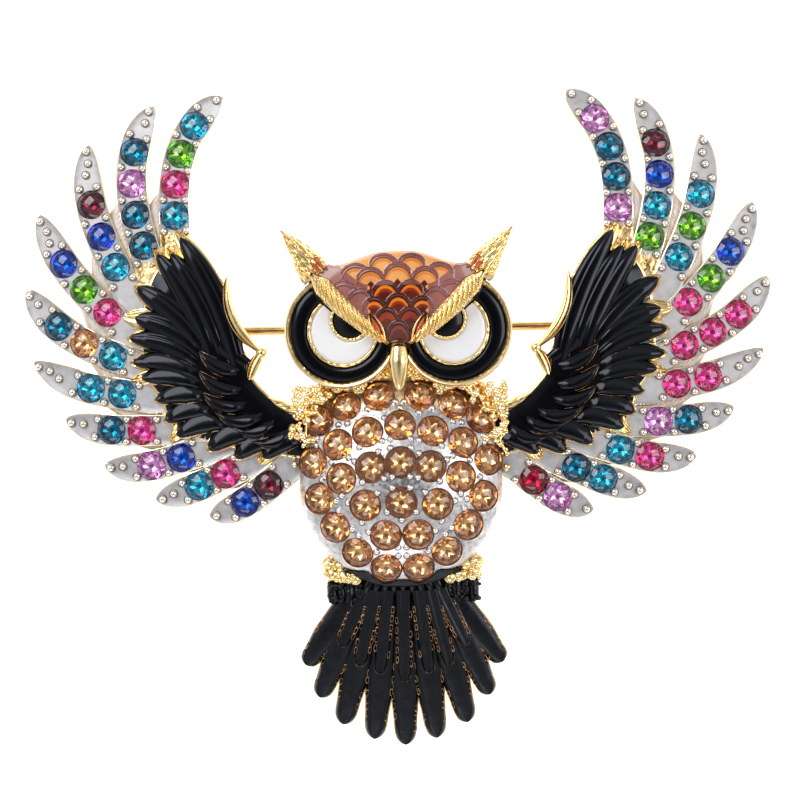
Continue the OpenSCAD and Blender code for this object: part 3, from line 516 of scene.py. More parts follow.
def feather(shape, beads, f, side, index):
    outline, rim, pitch = feather_loop(f, 0), feather_loop(f, 0.10), feather_pitch(f)

    def ground(x, y):
        return TOP - 0.13 * smooth(gap_to((x, y), rim) / 0.22)

    seats, tops, places = [], [], []
    for k in range(f.stones):
        places.append(stand(WING_C, DOME_R + TOP, *along(f, k * pitch)))
        seats.append([(p.x, p.y) for p in hoop(places[-1], HOLE_R, 0, SEAT_STEPS)])
        tops.append([on_wing(x, y, ground(x, y)) for x, y in seats[-1]])
    inner = [along(f, k * pitch / 6, off) for k in range(-12, 6 * f.stones + 9)
             for off in (-1.25, -0.95, -0.5, 0.0, 0.5, 0.95, 1.25)]
    inner = [p for p in inner if within(p, rim, 0.10, seats, 0.10)]
    part = Shape("part")
    part.sheet(rim, seats, lambda x, y: wing_z(x, y, ground(x, y)), 0, inner)
    start = along(f, -0.66 * STONE_D)
    for n, face in enumerate(part.faces):
        c = [sum(part.points[i][m] for i in face) / 3 for m in (0, 1)]
        if index < 2 and (c[0] - start[0]) * cosine(f.aim) + (c[1] - start[1]) * sine(f.aim) < 0:
            part.slots[n] = 2
    low = 0.006 * index
    levels = ((outline, low), (outline, TOP - 0.16), (feather_loop(f, 0.03), TOP - 0.04), (rim, TOP))
    part.grid([[on_wing(*p, h) for p in loop] for loop, h in levels], lambda i, j: 2 if i == 0 else 1,
              loop=True)
    part.sheet(outline, [], lambda x, y: wing_z(x, y, low), 4)
    for place, top in zip(places, tops):
        add_seat(part, place, SEAT_R, top, 3)
    part.onto(shape, side)

    codes = f.right if side > 0 else f.left
    for k in range(f.stones):
        x, y = along(f, k * pitch)
        place = stand(WING_C, DOME_R + TOP, side * x, y, chance.uniform(0, pi / 4))
        add_stone(STONES[CODES[codes[k]]], place @ wobble(3))

    spots = [along(f, (k - 0.5) * pitch, t * (1.11 if k < f.stones else 0.88)) for k in range(f.stones + 1)
             for t in (-1, 1)]
    at = reach(f) - 0.72
    while at > last_stone(f) + 0.5 * pitch + 0.72:
        spots.append(along(f, at, 0.12 if len(spots) % 2 else -0.12))
        at -= 1.18
    for x, y in spots:
        beads.ball(on_wing(side * x, y, TOP + 0.02), BEAD_R, 0, 14, 8)
        # dark ring of painted shadow round each bead, in seat_shadow
        shape.tube([on_wing(side * x + 0.40 * cosine(30 * k), y + 0.40 * sine(30 * k), TOP - 0.10)
                    for k in range(12)], 0.055, 3, 5, closed=True)


def web(shape, a, b, side):
    """Low ribbed web between two feathers."""
    w, n = a.web * STONE_D, 44
    rows = []
    for i in range(n + 1):
        s = -1.2 * STONE_D + (w + 1.2 * STONE_D) * i / n
        p, q = along(a, s, -1.2), along(b, s, 1.2)
        rib = 0.15 * abs(sin(pi * s / 0.46))
        row = []
        for t in shares(6):
            h = 0.95 + rib + 0.35 * (1 - abs(2 * t - 1)) - 0.5 * smooth((i - n + 5) / 5)
            row.append(on_wing(side * mix(p[0], q[0], t), mix(p[1], q[1], t), h))
        rows.append(row)
    shape.grid(rows, 5)
    foot = [[on_wing(*p[:2], 0.1) for p in r] for r in rows]
    shape.grid(foot, 4)
    shape.grid([rows[-1], foot[-1]], 5)


# Black enamelled coverts

def leaf_half(q, kind):
    """Half width of a leaf at a share of its length, as a share of its greatest."""
    if kind == "long":
        taper = 1 - 0.26 * smooth((q - 0.55) / 0.38)
        return taper * max(1 - max((q - 0.88) / 0.12, 0) ** 2.2, 0) ** 0.5
    if kind == "horn":
        return max(1 - q, 0) ** 0.8
    power, root, start, run = LEAF_KINDS[kind]
    ramp = smooth(q / run) if kind == "brow" else min(q / run, 1)
    return max(1 - q ** power, 0) ** root * (start + (1 - start) * ramp)


def leaf_point(p, q, bow, t, off):
    dx, dy = q[0] - p[0], q[1] - p[1]
    n = hypot(dx, dy)
    k = 4 * bow * n * t * (1 - t) + off
    return p[0] + dx * t + -dy / n * k, p[1] + dy * t + dx / n * k


def leaf_loft(shape, p, q, w, bow, kind, height, skirt, side, slot, n, m, place=on_wing, ends=(0, 1), to=1.0):
    """A leaf whose height over the ball is height(t, v), with a skirt down to skirt."""
    rows = []
    for i in range(n + 1):
        t = mix(*ends, 1 - (1 - i / n) ** 1.6)
        half = max(leaf_half(t / to, kind), 0.02) * w / 2
        row = [(*leaf_point(p, q, bow, t, v * half), height(t, v))
               for v in [-1 + 2 * j / m for j in range(m + 1)]]
        row = [(*row[0][:2], skirt), *row, (*row[-1][:2], skirt)]
        rows.append([(side * x, y, place(x, y, h)[2]) for x, y, h in row])
    shape.grid(rows, slot)
    for end in (rows[-1], rows[0]):
        shape.grid([end, [(x, y, z - 0.4) for x, y, z in end]], slot)


def edge_wire(gold, leaf, height, side, v, ends, steps, near, r, least, power):
    """Thin wire along a vane's edge, thickest half way."""
    p, q, w, bow, kind, to = leaf
    path, radii = [], []
    for i in range(steps + 1):
        t = mix(*ends, i / steps)
        half = max(leaf_half(t / to, kind), 0.02) * w / 2
        x, y = leaf_point(p, q, bow, t, v * half * 0.97)
        path.append(on_wing(side * x, y, height(t, v * near) + 0.02))
        radii.append(r * (least + (1 - least) * sin(pi * i / steps) ** power))
    gold.tube(path, radii, 3, 6)


def share(x, y):
    return x * HW, y * HH


def spread(x, y):
    """A plan point of the coverts, whose upper end lies a little further out."""
    return share(x + 0.032 * smooth((y - 0.22) / 0.25), y)


def inset(loop, d):
    """An outline moved sideways by d."""
    out = []
    for i in range(len(loop)):
        a, b, c = Vector(loop[i - 1]), Vector(loop[i]), Vector(loop[(i + 1) % len(loop)])
        e, g = (b - a).normalized(), (c - b).normalized()
        across = Vector((-(e.y + g.y), e.x + g.x)).normalized()
        k = d / max(across.dot(Vector((-e.y, e.x))), 0.5)
        out.append((b.x + across.x * k, b.y + across.y * k))
    return out


def rounded(loop):
    """A smooth curve through the points of an outline, in four steps from each to the next."""
    out, n = [], len(loop)
    for i in range(n):
        a, b, c, d = loop[i - 1], loop[i], loop[(i + 1) % n], loop[(i + 2) % n]
        for t in (0, 0.25, 0.5, 0.75):
            out.append(tuple(0.5 * (2 * b[m] + (c[m] - a[m]) * t
                                    + (2 * a[m] - 5 * b[m] + 4 * c[m] - d[m]) * t * t
                                    + (3 * b[m] - a[m] - 3 * c[m] + d[m]) * t ** 3) for m in (0, 1)))
    return out


def covers(black, gold, side):
    fine = rounded([spread(max(x, 0.25), y) for x, y in ARM])
    area = sum(fine[i - 1][0] * fine[i][1] - fine[i][0] * fine[i - 1][1] for i in range(len(fine)))
    way = copysign(1, area)
    rim, edge = inset(fine, 0.10 * way), inset(fine, 0.30 * way)
    levels = ((fine, ARM_FOOT), (fine, ARM_RIM - 0.14), (rim, ARM_RIM), (edge, ARM_RIM))
    gold.grid([[on_wing(side * x, y, h) for x, y in loop] for loop, h in levels], 0, loop=True)
    part = Shape("part")
    part.sheet(fine, [], lambda x, y: wing_z(x, y, ARM_FOOT), 2)
    part.onto(gold, side)
    inner = [(0.9 * i, 0.9 * j) for i in range(5, 30) for j in range(-6, 22)]
    inner = [p for p in inner if within(p, edge, 0.2)]

    def pillow(x, y):
        return wing_z(x, y, COVER_H + COVER_RISE * smooth(gap_to((x, y), edge) / 1.3))

    part = Shape("part")
    part.sheet(edge, [], pillow, 0, inner)
    part.onto(black, side)

    for k, (x0, y0, x1, y1, w, bow) in enumerate(VANES):
        p, q, width = spread(x0, y0), spread(x1, y1), w * FEATHER_W
        lean, crease = (0.20, 0.0) if k > 5 else (0.08, 0.10)

        def metal(t, v):
            flutes = 0.13 * sin(7.5 * v + 9 * t + k) * smooth((t - 0.8) / 0.2)
            return COVER_H + COVER_RISE * (1 - abs(v) ** 2.4) + flutes

        def enamel(t, v):
            fold = crease * exp(-((v - 0.35) / 0.12) ** 2)
            return VANE_H + 0.05 * (k % 3) + 0.05 + (0.50 + lean * -v - fold) * bulge(v, 2.6, 0.75) * (
                0.35 + 0.65 * smooth(t / 0.2)) * (1 - 0.30 * smooth((t - 0.80) / 0.15))

        over, stop = (1.035, 0.975) if k < 3 else (1.13, 0.97) if k % 3 == 1 else (1.06, 1.02)
        leaf_loft(gold, p, q, width * 0.98, bow, "blunt", metal, 1.0, side, 0, 40, 16,
                  ends=(0.45, over), to=over)
        leaf_loft(black, p, q, width * 0.88, bow, "blunt", enamel, 1.6, side, 0, 34, 16,
                  ends=(0, stop), to=stop)
        if k != 1:
            ends = (0.05, 0.42) if k < 3 else (0.05, 0.45) if k < 6 else (0.04, 0.66)
            leaf = (p, q, width * 0.88, bow, "blunt", stop)
            edge_wire(gold, leaf, enamel, side, -1, ends, 18, 0.93, 0.042, 0.2, 0.8)

    for k, (x0, y0, x1, y1, w, bow) in enumerate(UPPER_VANES):
        p, q, width = share(x0, y0), share(x1, y1), w * FEATHER_W

        def enamel(t, v):
            return UPPER_VANE_H + 0.06 * (k % 2) + (0.52 - 0.18 * v) * bulge(v, 2.4, 0.7) * (
                0.3 + 0.7 * smooth(t / 0.2)) * (1 - 0.5 * smooth((t - 0.75) / 0.25))

        leaf_loft(black, p, q, width, bow, "vane", enamel, 1.8, side, 0, 24, 12)
        for v, start, r in ((-1, 0.25, 0.055), (0.95, 0.55, 0.045)):
            leaf = (p, q, width, bow, "vane", 1)
            edge_wire(gold, leaf, enamel, side, v, (start, 0.98), 16, 0.92, r, 0.25, 0.6)

    for x0, y0, x1, y1, w, bow in HEEL_VANES:
        leaf_loft(black, spread(x0, y0), spread(x1, y1), w, bow, "blunt",
                  lambda t, v: 2.05 + 0.32 * bulge(v, 2.4, 0.7), 0.1, side, 0, 24, 12)
    corner = share(0.369, 0.213)
    for end, w, bow in ((share(0.459, 0.447), 1.12, -0.155), (share(0.404, 0.130), 1.15, 0.05)):
        flip = 1 if bow < 0 else -1

        def band(t, v):
            s = v * flip
            return VANE_H + 0.80 * bulge(v, 3, 0.5) - 0.42 * exp(-((s + 0.42) / 0.13) ** 2) + 0.10 * s

        leaf_loft(gold, corner, end, w, bow, "band", band, 0.2, side, 0, 40, 26)
    x, y = corner
    gold.ball(on_wing(side * x, y, 2.30), 0.56, 0, 18, 10)
    leaf_loft(gold, share(0.352, 0.075), share(0.215, 0.030), 1.0, 0.10, "band",
              lambda t, v: 1.5 + 0.6 * bulge(v, 2.4, 0.6) + 0.06 * sin(26 * t + 5 * v), 0.1, side, 0, 30, 12)


# Torso

TORSO_Y = -0.190 * HH
TORSO_R = ((TORSO_D / 2) ** 2 + TORSO_H ** 2) / (2 * TORSO_H)
TORSO_FOOT = BASE_Z + 0.9
TORSO_C = Vector((0, TORSO_Y, TORSO_FOOT + TORSO_H - TORSO_R))
TORSO_PLAN = [(x * TORSO_D / 2, TORSO_Y + y * TORSO_D / 2) for x, y in TORSO_STONES]


def torso_edge(a, grow=0.0):
    e = 2.8 if sine(a) > 0 else 2.1
    r = TORSO_D / 2 + grow
    c, s = cosine(a), sine(a)
    return (r * 0.985 * copysign(abs(c) ** (2 / e), c), TORSO_Y + r * copysign(abs(s) ** (2 / e), s))


def torso_z(x, y, lift=0.0):
    return TORSO_C.z + sqrt(max(TORSO_R ** 2 - x * x - (y - TORSO_Y) ** 2, 1.0)) + lift


def stand_torso(x, y, turn=0.0):
    """A place on the dome that leans less than the dome does there."""
    lean = (0.35 * x, TORSO_Y + 0.35 * (y - TORSO_Y))
    up = stand(TORSO_C, TORSO_R, mix(x, lean[0], 0.55), mix(y, lean[1], 0.55), turn)
    return Matrix.Translation(Vector((x, y, torso_z(x, y))) - up.translation) @ up


def torso_beads(points):
    """Plan points of the studs in the gaps between three stones."""
    beads, near = [], 1.9 * STONE_D
    for a, b, c in combinations(points, 3):
        if dist(a, b) >= near or dist(a, c) >= near or dist(b, c) >= near:
            continue
        if abs((b[0] - a[0]) * (c[1] - a[1]) - (c[0] - a[0]) * (b[1] - a[1])) / 2 <= 1:
            continue
        d = 2 * (a[0] * (b[1] - c[1]) + b[0] * (c[1] - a[1]) + c[0] * (a[1] - b[1]))
        aa, bb, cc = (p[0] ** 2 + p[1] ** 2 for p in (a, b, c))
        m = ((aa * (b[1] - c[1]) + bb * (c[1] - a[1]) + cc * (a[1] - b[1])) / d,
             (aa * (c[0] - b[0]) + bb * (a[0] - c[0]) + cc * (b[0] - a[0])) / d)
        if min(dist(m, p) for p in points) < STONE_R + 0.24 or dist(m, (0, TORSO_Y)) > 9.4:
            continue
        r = dist(m, a)
        if r - STONE_R - 0.22 < 0.35:
            beads.append(m)
        else:
            t = (STONE_R + 0.30) / r
            beads += [(mix(p[0], m[0], t), mix(p[1], m[1], t)) for p in (a, b, c)]
    kept = []
    for m in beads:
        if all(dist(m, q) > 0.66 for q in kept) and min(dist(m, p) for p in points) > STONE_R + 0.16:
            kept.append(m)
    return kept


def torso():
    shape = Shape("torso_setting", [BRIGHT, SEAT, STUD, BEZEL, BACK])
    points = TORSO_PLAN + [(-x, y) for x, y in TORSO_PLAN if x > 0.01]
    edge, rim = ([torso_edge(5 * k + 2.5, grow) for k in range(72)] for grow in (0.0, -0.15))
    places = [stand_torso(x, y) for x, y in points]
    seats = [[(p.x, p.y) for p in hoop(place, TORSO_HOLE_R, 0, SEAT_STEPS)] for place in places]
    inner = [(0.55 * i, TORSO_Y + 0.55 * j) for i in range(-19, 20) for j in range(-19, 20)]
    inner = [p for p in inner if within(p, rim, 0.15, seats, 0.08)]
    shape.sheet(rim, seats, lambda x, y: torso_z(x, y, -0.06), 0, inner)
    low = BASE_Z - 1.2
    shape.grid([[(x, y, torso_z(x, y, -0.06)) for x, y in rim],
                [(x, y, torso_z(x, y, -0.22)) for x, y in edge],
                [(x, y, low) for x, y in edge]], 0, loop=True)
    shape.sheet(edge, [], lambda x, y: low, 4)
    for place, seat in zip(places, seats):
        add_seat(shape, place, TORSO_SEAT_R, [(x, y, torso_z(x, y, -0.06)) for x, y in seat], 1)
        shape.lathe(place, [(1.61, -0.9), (1.62, 0.0), (1.58, 0.09), (1.50, 0.06), (1.47, -0.3)], 3, 36)
    for x, y in points:
        lean = wobble(4)
        add_stone(STONES["topaz"], stand_torso(x, y, chance.uniform(0, pi / 4)) @ lean, 1.49)
    for x, y in torso_beads(points):
        z = torso_z(x, y)
        shape.ball((x, y, z), 0.30, 2, 12, 7)
        # dark ring of painted shadow round each stud, in seat_shadow
        shape.tube([(x + 0.33 * cosine(30 * k), y + 0.33 * sine(30 * k), z - 0.07) for k in range(12)],
                   0.06, 1, 5, closed=True)
    shape.build(["cast_body"], "plated_metal")


# Head

EYE_C = (0.152 * HW, 0.275 * HH)
EYE_Z = BASE_Z + 3.0
IRIS_D, IRIS_C = 0.62 * EYE_D, (-0.15, -0.05)
PUPIL_D, PUPIL_C = 0.35 * EYE_D, (-0.9, 1.0)
BROW_OUT, BROW_IN = (0.228 * HW, 0.443 * HH), (0.020 * HW, 0.226 * HH)
BROW_RUN = (Vector(BROW_IN) - Vector(BROW_OUT)).normalized()
BROW_SIDE = Vector((-BROW_RUN.y, BROW_RUN.x))
BROW_Z = BASE_Z + 4.7
CROWN_FLOOR, CROWN_TOP, CROWN_R, CROWN_Y = BASE_Z + 3.4, BASE_Z + 5.2, 16.0, 0.40 * HH
EAR_ROOT, EAR_TIP = (0.218 * HW, 0.450 * HH), (0.312 * HW, 0.583 * HH)
INLAY_C, INLAY_AIM = (0.060 * HW, 0.286 * HH), 66
NUGGETS, NECK_GRAINS = 420, 110


def level(z):
    """Places a leaf at a level height."""
    return lambda x, y, h: (x, y, z + h)


def keep_faces(shape, good):
    """Drops the faces whose points don't pass."""
    keep = [k for k, f in enumerate(shape.faces) if good([shape.points[i] for i in f])]
    lists = (shape.faces, shape.slots, shape.flat)
    shape.faces, shape.slots, shape.flat = ([v[k] for k in keep] for v in lists)


def brow_frame(x, y):
    """Distance along the brow from its outer end, and distance from its axis towards the eye."""
    d = Vector((x, y)) - Vector(BROW_OUT)
    return d.dot(BROW_RUN), d.dot(BROW_SIDE)


def cut_over_brow(shape, side, grow=0.0):
    """Drops the faces that lie beyond the brow's line, under the crown."""
    def good(face):
        x, y = (sum(p[m] for p in face) / len(face) for m in (0, 1))
        s_at, off = brow_frame(side * x, y)
        return -off < 0.55 + grow or s_at < -0.6

    keep_faces(shape, good)


def eye(side, name):
    place = Matrix.Translation((side * EYE_C[0], EYE_C[1], EYE_Z)) @ rotation(side * EYE_TILT, "Y")
    iris = place @ Matrix.Translation((side * IRIS_C[0], IRIS_C[1], 0))
    pupil = place @ Matrix.Translation((side * PUPIL_C[0], PUPIL_C[1], 0))
    r = EYE_D / 2
    metal = Shape("eye_rims_" + name, [GOLD, PALE_GOLD, BACK])
    metal.lathe(place, [(r - 0.55, -2.3), (r, -2.2), (r, 0.10), (r - 0.07, 0.26), (r - 0.2, 0.34),
                        (r - 0.33, 0.30), (r - 0.42, 0.12), (r - 0.45, -0.6)], 1, 96)
    rope = []
    for k in range(216):
        w = 0.014 * sin(k * 2 * pi / 4.2) + 0.03 * sin(k * 0.37)
        a, out = angle(k, 216), r - 0.48 + w * 0.4
        rope.append(place @ Vector((out * cos(a), out * sin(a), 0.13 + w)))
    metal.tube(rope, 0.085, 0, 6, closed=True)
    for centre, rad, part_s, part_off in ((iris, IRIS_D / 2 - 0.12, 4.0, 1.62),
                                          (pupil, PUPIL_D / 2 - 0.10, 5.8, 1.40)):
        ring, shown = hoop(centre, rad, 0.14, 180), []
        for p in ring:
            s_at, off = brow_frame(side * p.x, p.y)
            shown.append(off > (part_off if s_at < part_s else 0.6))
        first = next(k for k in range(180) if shown[k] and not shown[k - 1])
        arc = []
        while shown[(first + len(arc)) % 180] and len(arc) < 180:
            arc.append(ring[(first + len(arc)) % 180])
        radii = [0.165 + 0.022 * sin(k * 0.9 + 1.3 * sin(k * 0.31)) for k in range(len(arc))]
        metal.tube(arc, radii, 0, 10)
        for end in (arc[0], arc[-1]):
            metal.ball(end, 0.175, 0, 12, 8)
    metal.lathe(place, [(0.01, -2.6), (r - 0.3, -2.6), (r - 0.2, -2.0)], 2, 64)
    cut_over_brow(metal, side, 0.25)
    keep_faces(metal, lambda face: not all(
        side * p[0] < 1.5 and p[1] > 6.35 and p[2] > EYE_Z - 1.2 for p in face))
    metal.build(["cast_body"], "plated_metal")

    ring = Shape("eye_black_" + name, [BLACK])
    inner, outer = IRIS_D / 2 - 0.05, r - 0.43
    rows = []
    for t in shares(14):
        z = -0.28 + 0.42 * bulge(2 * t - 1, 2.6, 0.6)
        rows.append([p.lerp(q, t) for p, q in zip(hoop(iris, inner, z, 96), hoop(place, outer, z, 96))])
    ring.grid(rows, 0, loop=True)
    cut_over_brow(ring, side)
    # Black sliver along the brow's lower edge, from its outer end towards the pupil: black enamel of the lid,
    # and painted shadow of the brow over the eye.
    lid_and_brow_shadow = []
    for i in range(41):
        s_at = mix(-0.15, 5.9, i / 40)
        deep = mix(0.75, 1.58, smooth(s_at / 1.8)) - 0.20 * smooth((s_at - 3.4) / 1.2)
        row = []
        for j in range(11):
            x, y = Vector(BROW_OUT) + BROW_RUN * s_at + BROW_SIDE * mix(0.3, deep, j / 10)
            z = EYE_Z - tan(radians(EYE_TILT)) * (x - EYE_C[0])
            row.append((side * x, y, z + 0.24 * bulge(max(2 * j / 10 - 1, 0), 3, 0.5) - 0.06))
        lid_and_brow_shadow.append(row)
    ring.grid(lid_and_brow_shadow, 0)
    ring.build(["eye_ring_enamel_" + name], "black_enamel")

    white = Shape("eye_white_" + name, [WHITE])
    inner, outer = PUPIL_D / 2 - 0.05, IRIS_D / 2 - 0.16
    rows = []
    for t in shares(11):
        z = -0.10 + 0.20 * bulge(2 * t - 1, 3, 0.6)
        rows.append([p.lerp(q, t) for p, q in zip(hoop(pupil, inner, z, 80), hoop(iris, outer, z, 80))])
    white.grid(rows, 0, loop=True)
    cut_over_brow(white, side)
    white.build(["eye_white_enamel_" + name], "white_enamel")

    black = Shape("eye_pupil_" + name, [BLACK])
    rad = PUPIL_D / 2 - 0.16
    black.lathe(pupil, [(0.01, 0.26)] + [(rad * t, 0.26 * (1 - t ** 2.5) - 0.05) for t in
                                         (0.15, 0.3, 0.45, 0.6, 0.72, 0.83, 0.92, 1.0)], 0, 48)
    cut_over_brow(black, side)
    black.build(["pupil_enamel_" + name], "black_enamel")


def crown_top(x):
    return 16.80 - 1.30 * smooth((abs(x) - 1.2) / 5.2) + 0.35 * smooth((abs(x) - 6.2) / 1.6)


def crown_low(x):
    d = (BROW_OUT[0] - BROW_IN[0], BROW_OUT[1] - BROW_IN[1])
    return BROW_IN[1] + 0.30 + max(abs(x) - 0.7, 0) * d[1] / d[0] - 0.45 * smooth((abs(x) - 1.2) / 2)


# Rows of scales from the top one: height of the middle arch, half width of an arch
SCALE_ROWS = ((16.75, 1.40), (15.72, 1.36), (14.05, 1.26), (12.68, 1.20), (11.35, 1.14), (9.90, 1.08))
ARCH = 0.86
BAND = 0.56


def arch(u):
    """Drop of an arch's edge below its top, as a share, at a share of the half width."""
    return (1 - sqrt(1 - (0.9 * u) ** 2)) / (1 - sqrt(1 - 0.81))


def crown_field(x, y):
    """The row of the scale at a point, and the distance in from the scale's arch."""
    for row in range(len(SCALE_ROWS) - 1, -1, -1):
        top, w = SCALE_ROWS[row]
        shift = 0.5 if row % 2 == 0 else 0.0
        xc = (round(x / (2 * w) - shift) + shift) * 2 * w
        u = (x - xc) / w
        edge = top - 0.06 * xc * xc - ARCH * arch(u)
        if y < edge:
            slope = ARCH / w * (arch(min(abs(u) + 0.02, 1)) - arch(max(abs(u) - 0.02, 0))) / 0.04
            return row, (edge - y) / sqrt(1 + slope * slope)
    return -1, 9.0


def in_patch(x, y):
    """True in the dark patch over the beak, whose upper edge has spikes."""
    a = abs(x + 0.02)
    spikes = 0.65 * max(1 - a / 0.55, 0) + 0.45 * max(1 - abs(a - 2.65) / 0.45, 0)
    return a < 2.90 + 0.16 * sin(8 * y) and y < 13.40 + spikes


def crown_tag(x, y, row, deep_in):
    """Number of the enamel's colour at a point of the crown."""
    cell, deep, line, haze, dark, lit, red, pale = range(8)
    band = deep_in < BAND
    if in_patch(x, y):
        if band:
            return deep if 0.20 < deep_in < 0.40 else dark
        if deep_in < BAND + 0.32:
            return lit if row < 4 else red
        return red if deep_in < BAND + 0.62 and row < 5 else deep
    if band:
        return haze if 0.12 < deep_in < 0.22 or 0.32 < deep_in < 0.42 else line
    if y < 13.5 + 0.55 * max(abs(x) - 3.2, 0) ** 1.3 and abs(x) > 3.0:
        return haze
    return cell if deep_in < BAND + 0.35 else pale


def crown():
    shape = Shape("crown_scales", [AMBER_CELL, AMBER_DEEP, AMBER_LINE, AMBER_HAZE, AMBER_DARK, AMBER_LIT,
                                   AMBER_RED, AMBER_PALE])
    cols, steps, wide = 250, 180, 0.232 * HW
    rows, tags = [], []
    for i in range(steps + 1):
        row, tag = [], []
        for j in range(cols + 1):
            x = wide * (2 * j / cols - 1)
            lo, hi = crown_low(x), max(crown_top(x), crown_low(x) + 0.05)
            y = mix(lo, hi, i / steps)
            k, deep_in = crown_field(x, y)
            z = CROWN_TOP - CROWN_R + sqrt(CROWN_R ** 2 - 0.62 * x * x - (y - CROWN_Y) ** 2)
            z = max(z, CROWN_FLOOR + 0.42)
            z += 0.10 * exp(-deep_in / 0.8) - 0.04 * exp(-((deep_in - 0.28) / 0.05) ** 2)
            z -= 0.4 * smooth((y - hi + 0.35) / 0.35) ** 2
            row.append((x, y, z))
            tag.append(crown_tag(x, y, k, deep_in))
        rows.append(row)
        tags.append(tag)
    shape.grid(rows, lambda i, j: tags[i][j])
    shape.grid([rows[-1], [(p[0], p[1], CROWN_FLOOR) for p in rows[-1]]], 3)
    shape.build(["crown_enamel"], "amber_enamel", sharp=60)


# Strands of an ear tuft: start along it, offset, end, width, bow and height
STRANDS = ((-0.02, 1.15, 0.62, 0.95, 0.05, 0.10), (0.0, 0.0, 0.97, 1.05, 0.0, 0.45),
           (0.02, -1.15, 0.60, 0.85, -0.05, 0.12), (-0.05, 0.55, 0.66, 0.75, 0.06, 0.40),
           (-0.02, -0.55, 0.62, 0.75, -0.06, 0.36), (0.30, -0.62, 0.88, 0.6, -0.03, 0.34),
           (0.26, 0.62, 0.92, 0.6, 0.03, 0.30), (0.42, 0.20, 1.00, 0.5, 0.02, 0.52),
           (0.10, 1.35, 0.48, 0.55, 0.04, 0.20), (0.12, -1.30, 0.46, 0.5, -0.04, 0.18))


def pane(t, v):
    return 0.22 * bulge(v, 2, 0.5)


def brow(gold, inlay, side):
    """A carved brow with the inlay beside its inner end, between two strands."""
    def ridge(t, v):
        groove = (0.5 + 0.5 * cos(2 * pi * (16 * t - 2.0 * v) + 2 * sin(9 * t))) ** 5
        return 0.62 * bulge(v, 2.2, 0.6) - 0.22 * groove * smooth(t * 8) * (
            1 - 0.5 * smooth((abs(v - 0.1) - 0.55) / 0.4))

    leaf_loft(gold, BROW_OUT, BROW_IN, 2.02, 0.03, "brow", ridge, -3.4, side, 0, 240, 16,
              place=level(BROW_Z - 0.10), ends=(0.0, 0.97))
    d, c = Vector((cosine(INLAY_AIM), sine(INLAY_AIM))), Vector(INLAY_C)
    for v0, wid in ((-0.42, 0.42), (0.42, 0.40)):
        n = Vector((-d.y, d.x)) * v0
        p, q = c - d * 1.7 + n * 0.6, c + d * 1.5 + n * 0.2
        leaf_loft(gold, p, q, wid, copysign(0.10, v0), "vane", lambda t, v: 0.42 * bulge(v, 2, 0.5), -2.0,
                  side, 0, 30, 8, place=level(BROW_Z + 0.05))
    leaf_loft(inlay, c - d * 1.0, c + d * 0.95, 0.62, 0.0, "vane", pane, -0.3, side, 0, 16, 8,
              place=level(BROW_Z + 0.12))


def ear(gold, inlay, side):
    """An ear tuft of carved strands over one another."""
    e = Vector((EAR_TIP[0] - EAR_ROOT[0], EAR_TIP[1] - EAR_ROOT[1]))
    across, root = Vector((-e.y, e.x)).normalized(), Vector(EAR_ROOT)

    def tuft(t, v):
        return 0.5 * bulge(v, 2, 0.5) + 0.14 * sin(11 * v + 3 * t) + 0.05 * sin(37 * t - 9 * v)

    leaf_loft(gold, root - e * 0.04, EAR_TIP, 3.6, 0.02, "horn", tuft, -2.6, side, 1, 44, 22,
              place=level(BASE_Z + 3.4))
    for s0, o, s1, w, bow, up in STRANDS:
        def lock(t, v):
            return up + 0.45 * bulge(v, 2, 0.5) * (0.4 + 0.6 * smooth(t * 4)) - 0.25 * t \
                - 0.12 * (0.5 + 0.5 * cos(2 * pi * (4.5 * t + 0.7 * v) + 9 * up)) ** 4

        p, q = root + e * s0 + across * o, root + e * s1 + across * o * 0.25
        leaf_loft(gold, p, q, w, bow, "vane", lock, -1.0, side, 0, 46, 12, place=level(BASE_Z + 3.8))
    for s0, o, s1 in ((-0.02, 0.88, 0.24), (0.0, 0.30, 0.16)):
        p, q = root + e * s0 + across * o, root + e * s1 + across * o
        leaf_loft(inlay, p, q, 0.42, 0.05, "vane", pane, -0.5, side, 0, 16, 8, place=level(BASE_Z + 4.62))


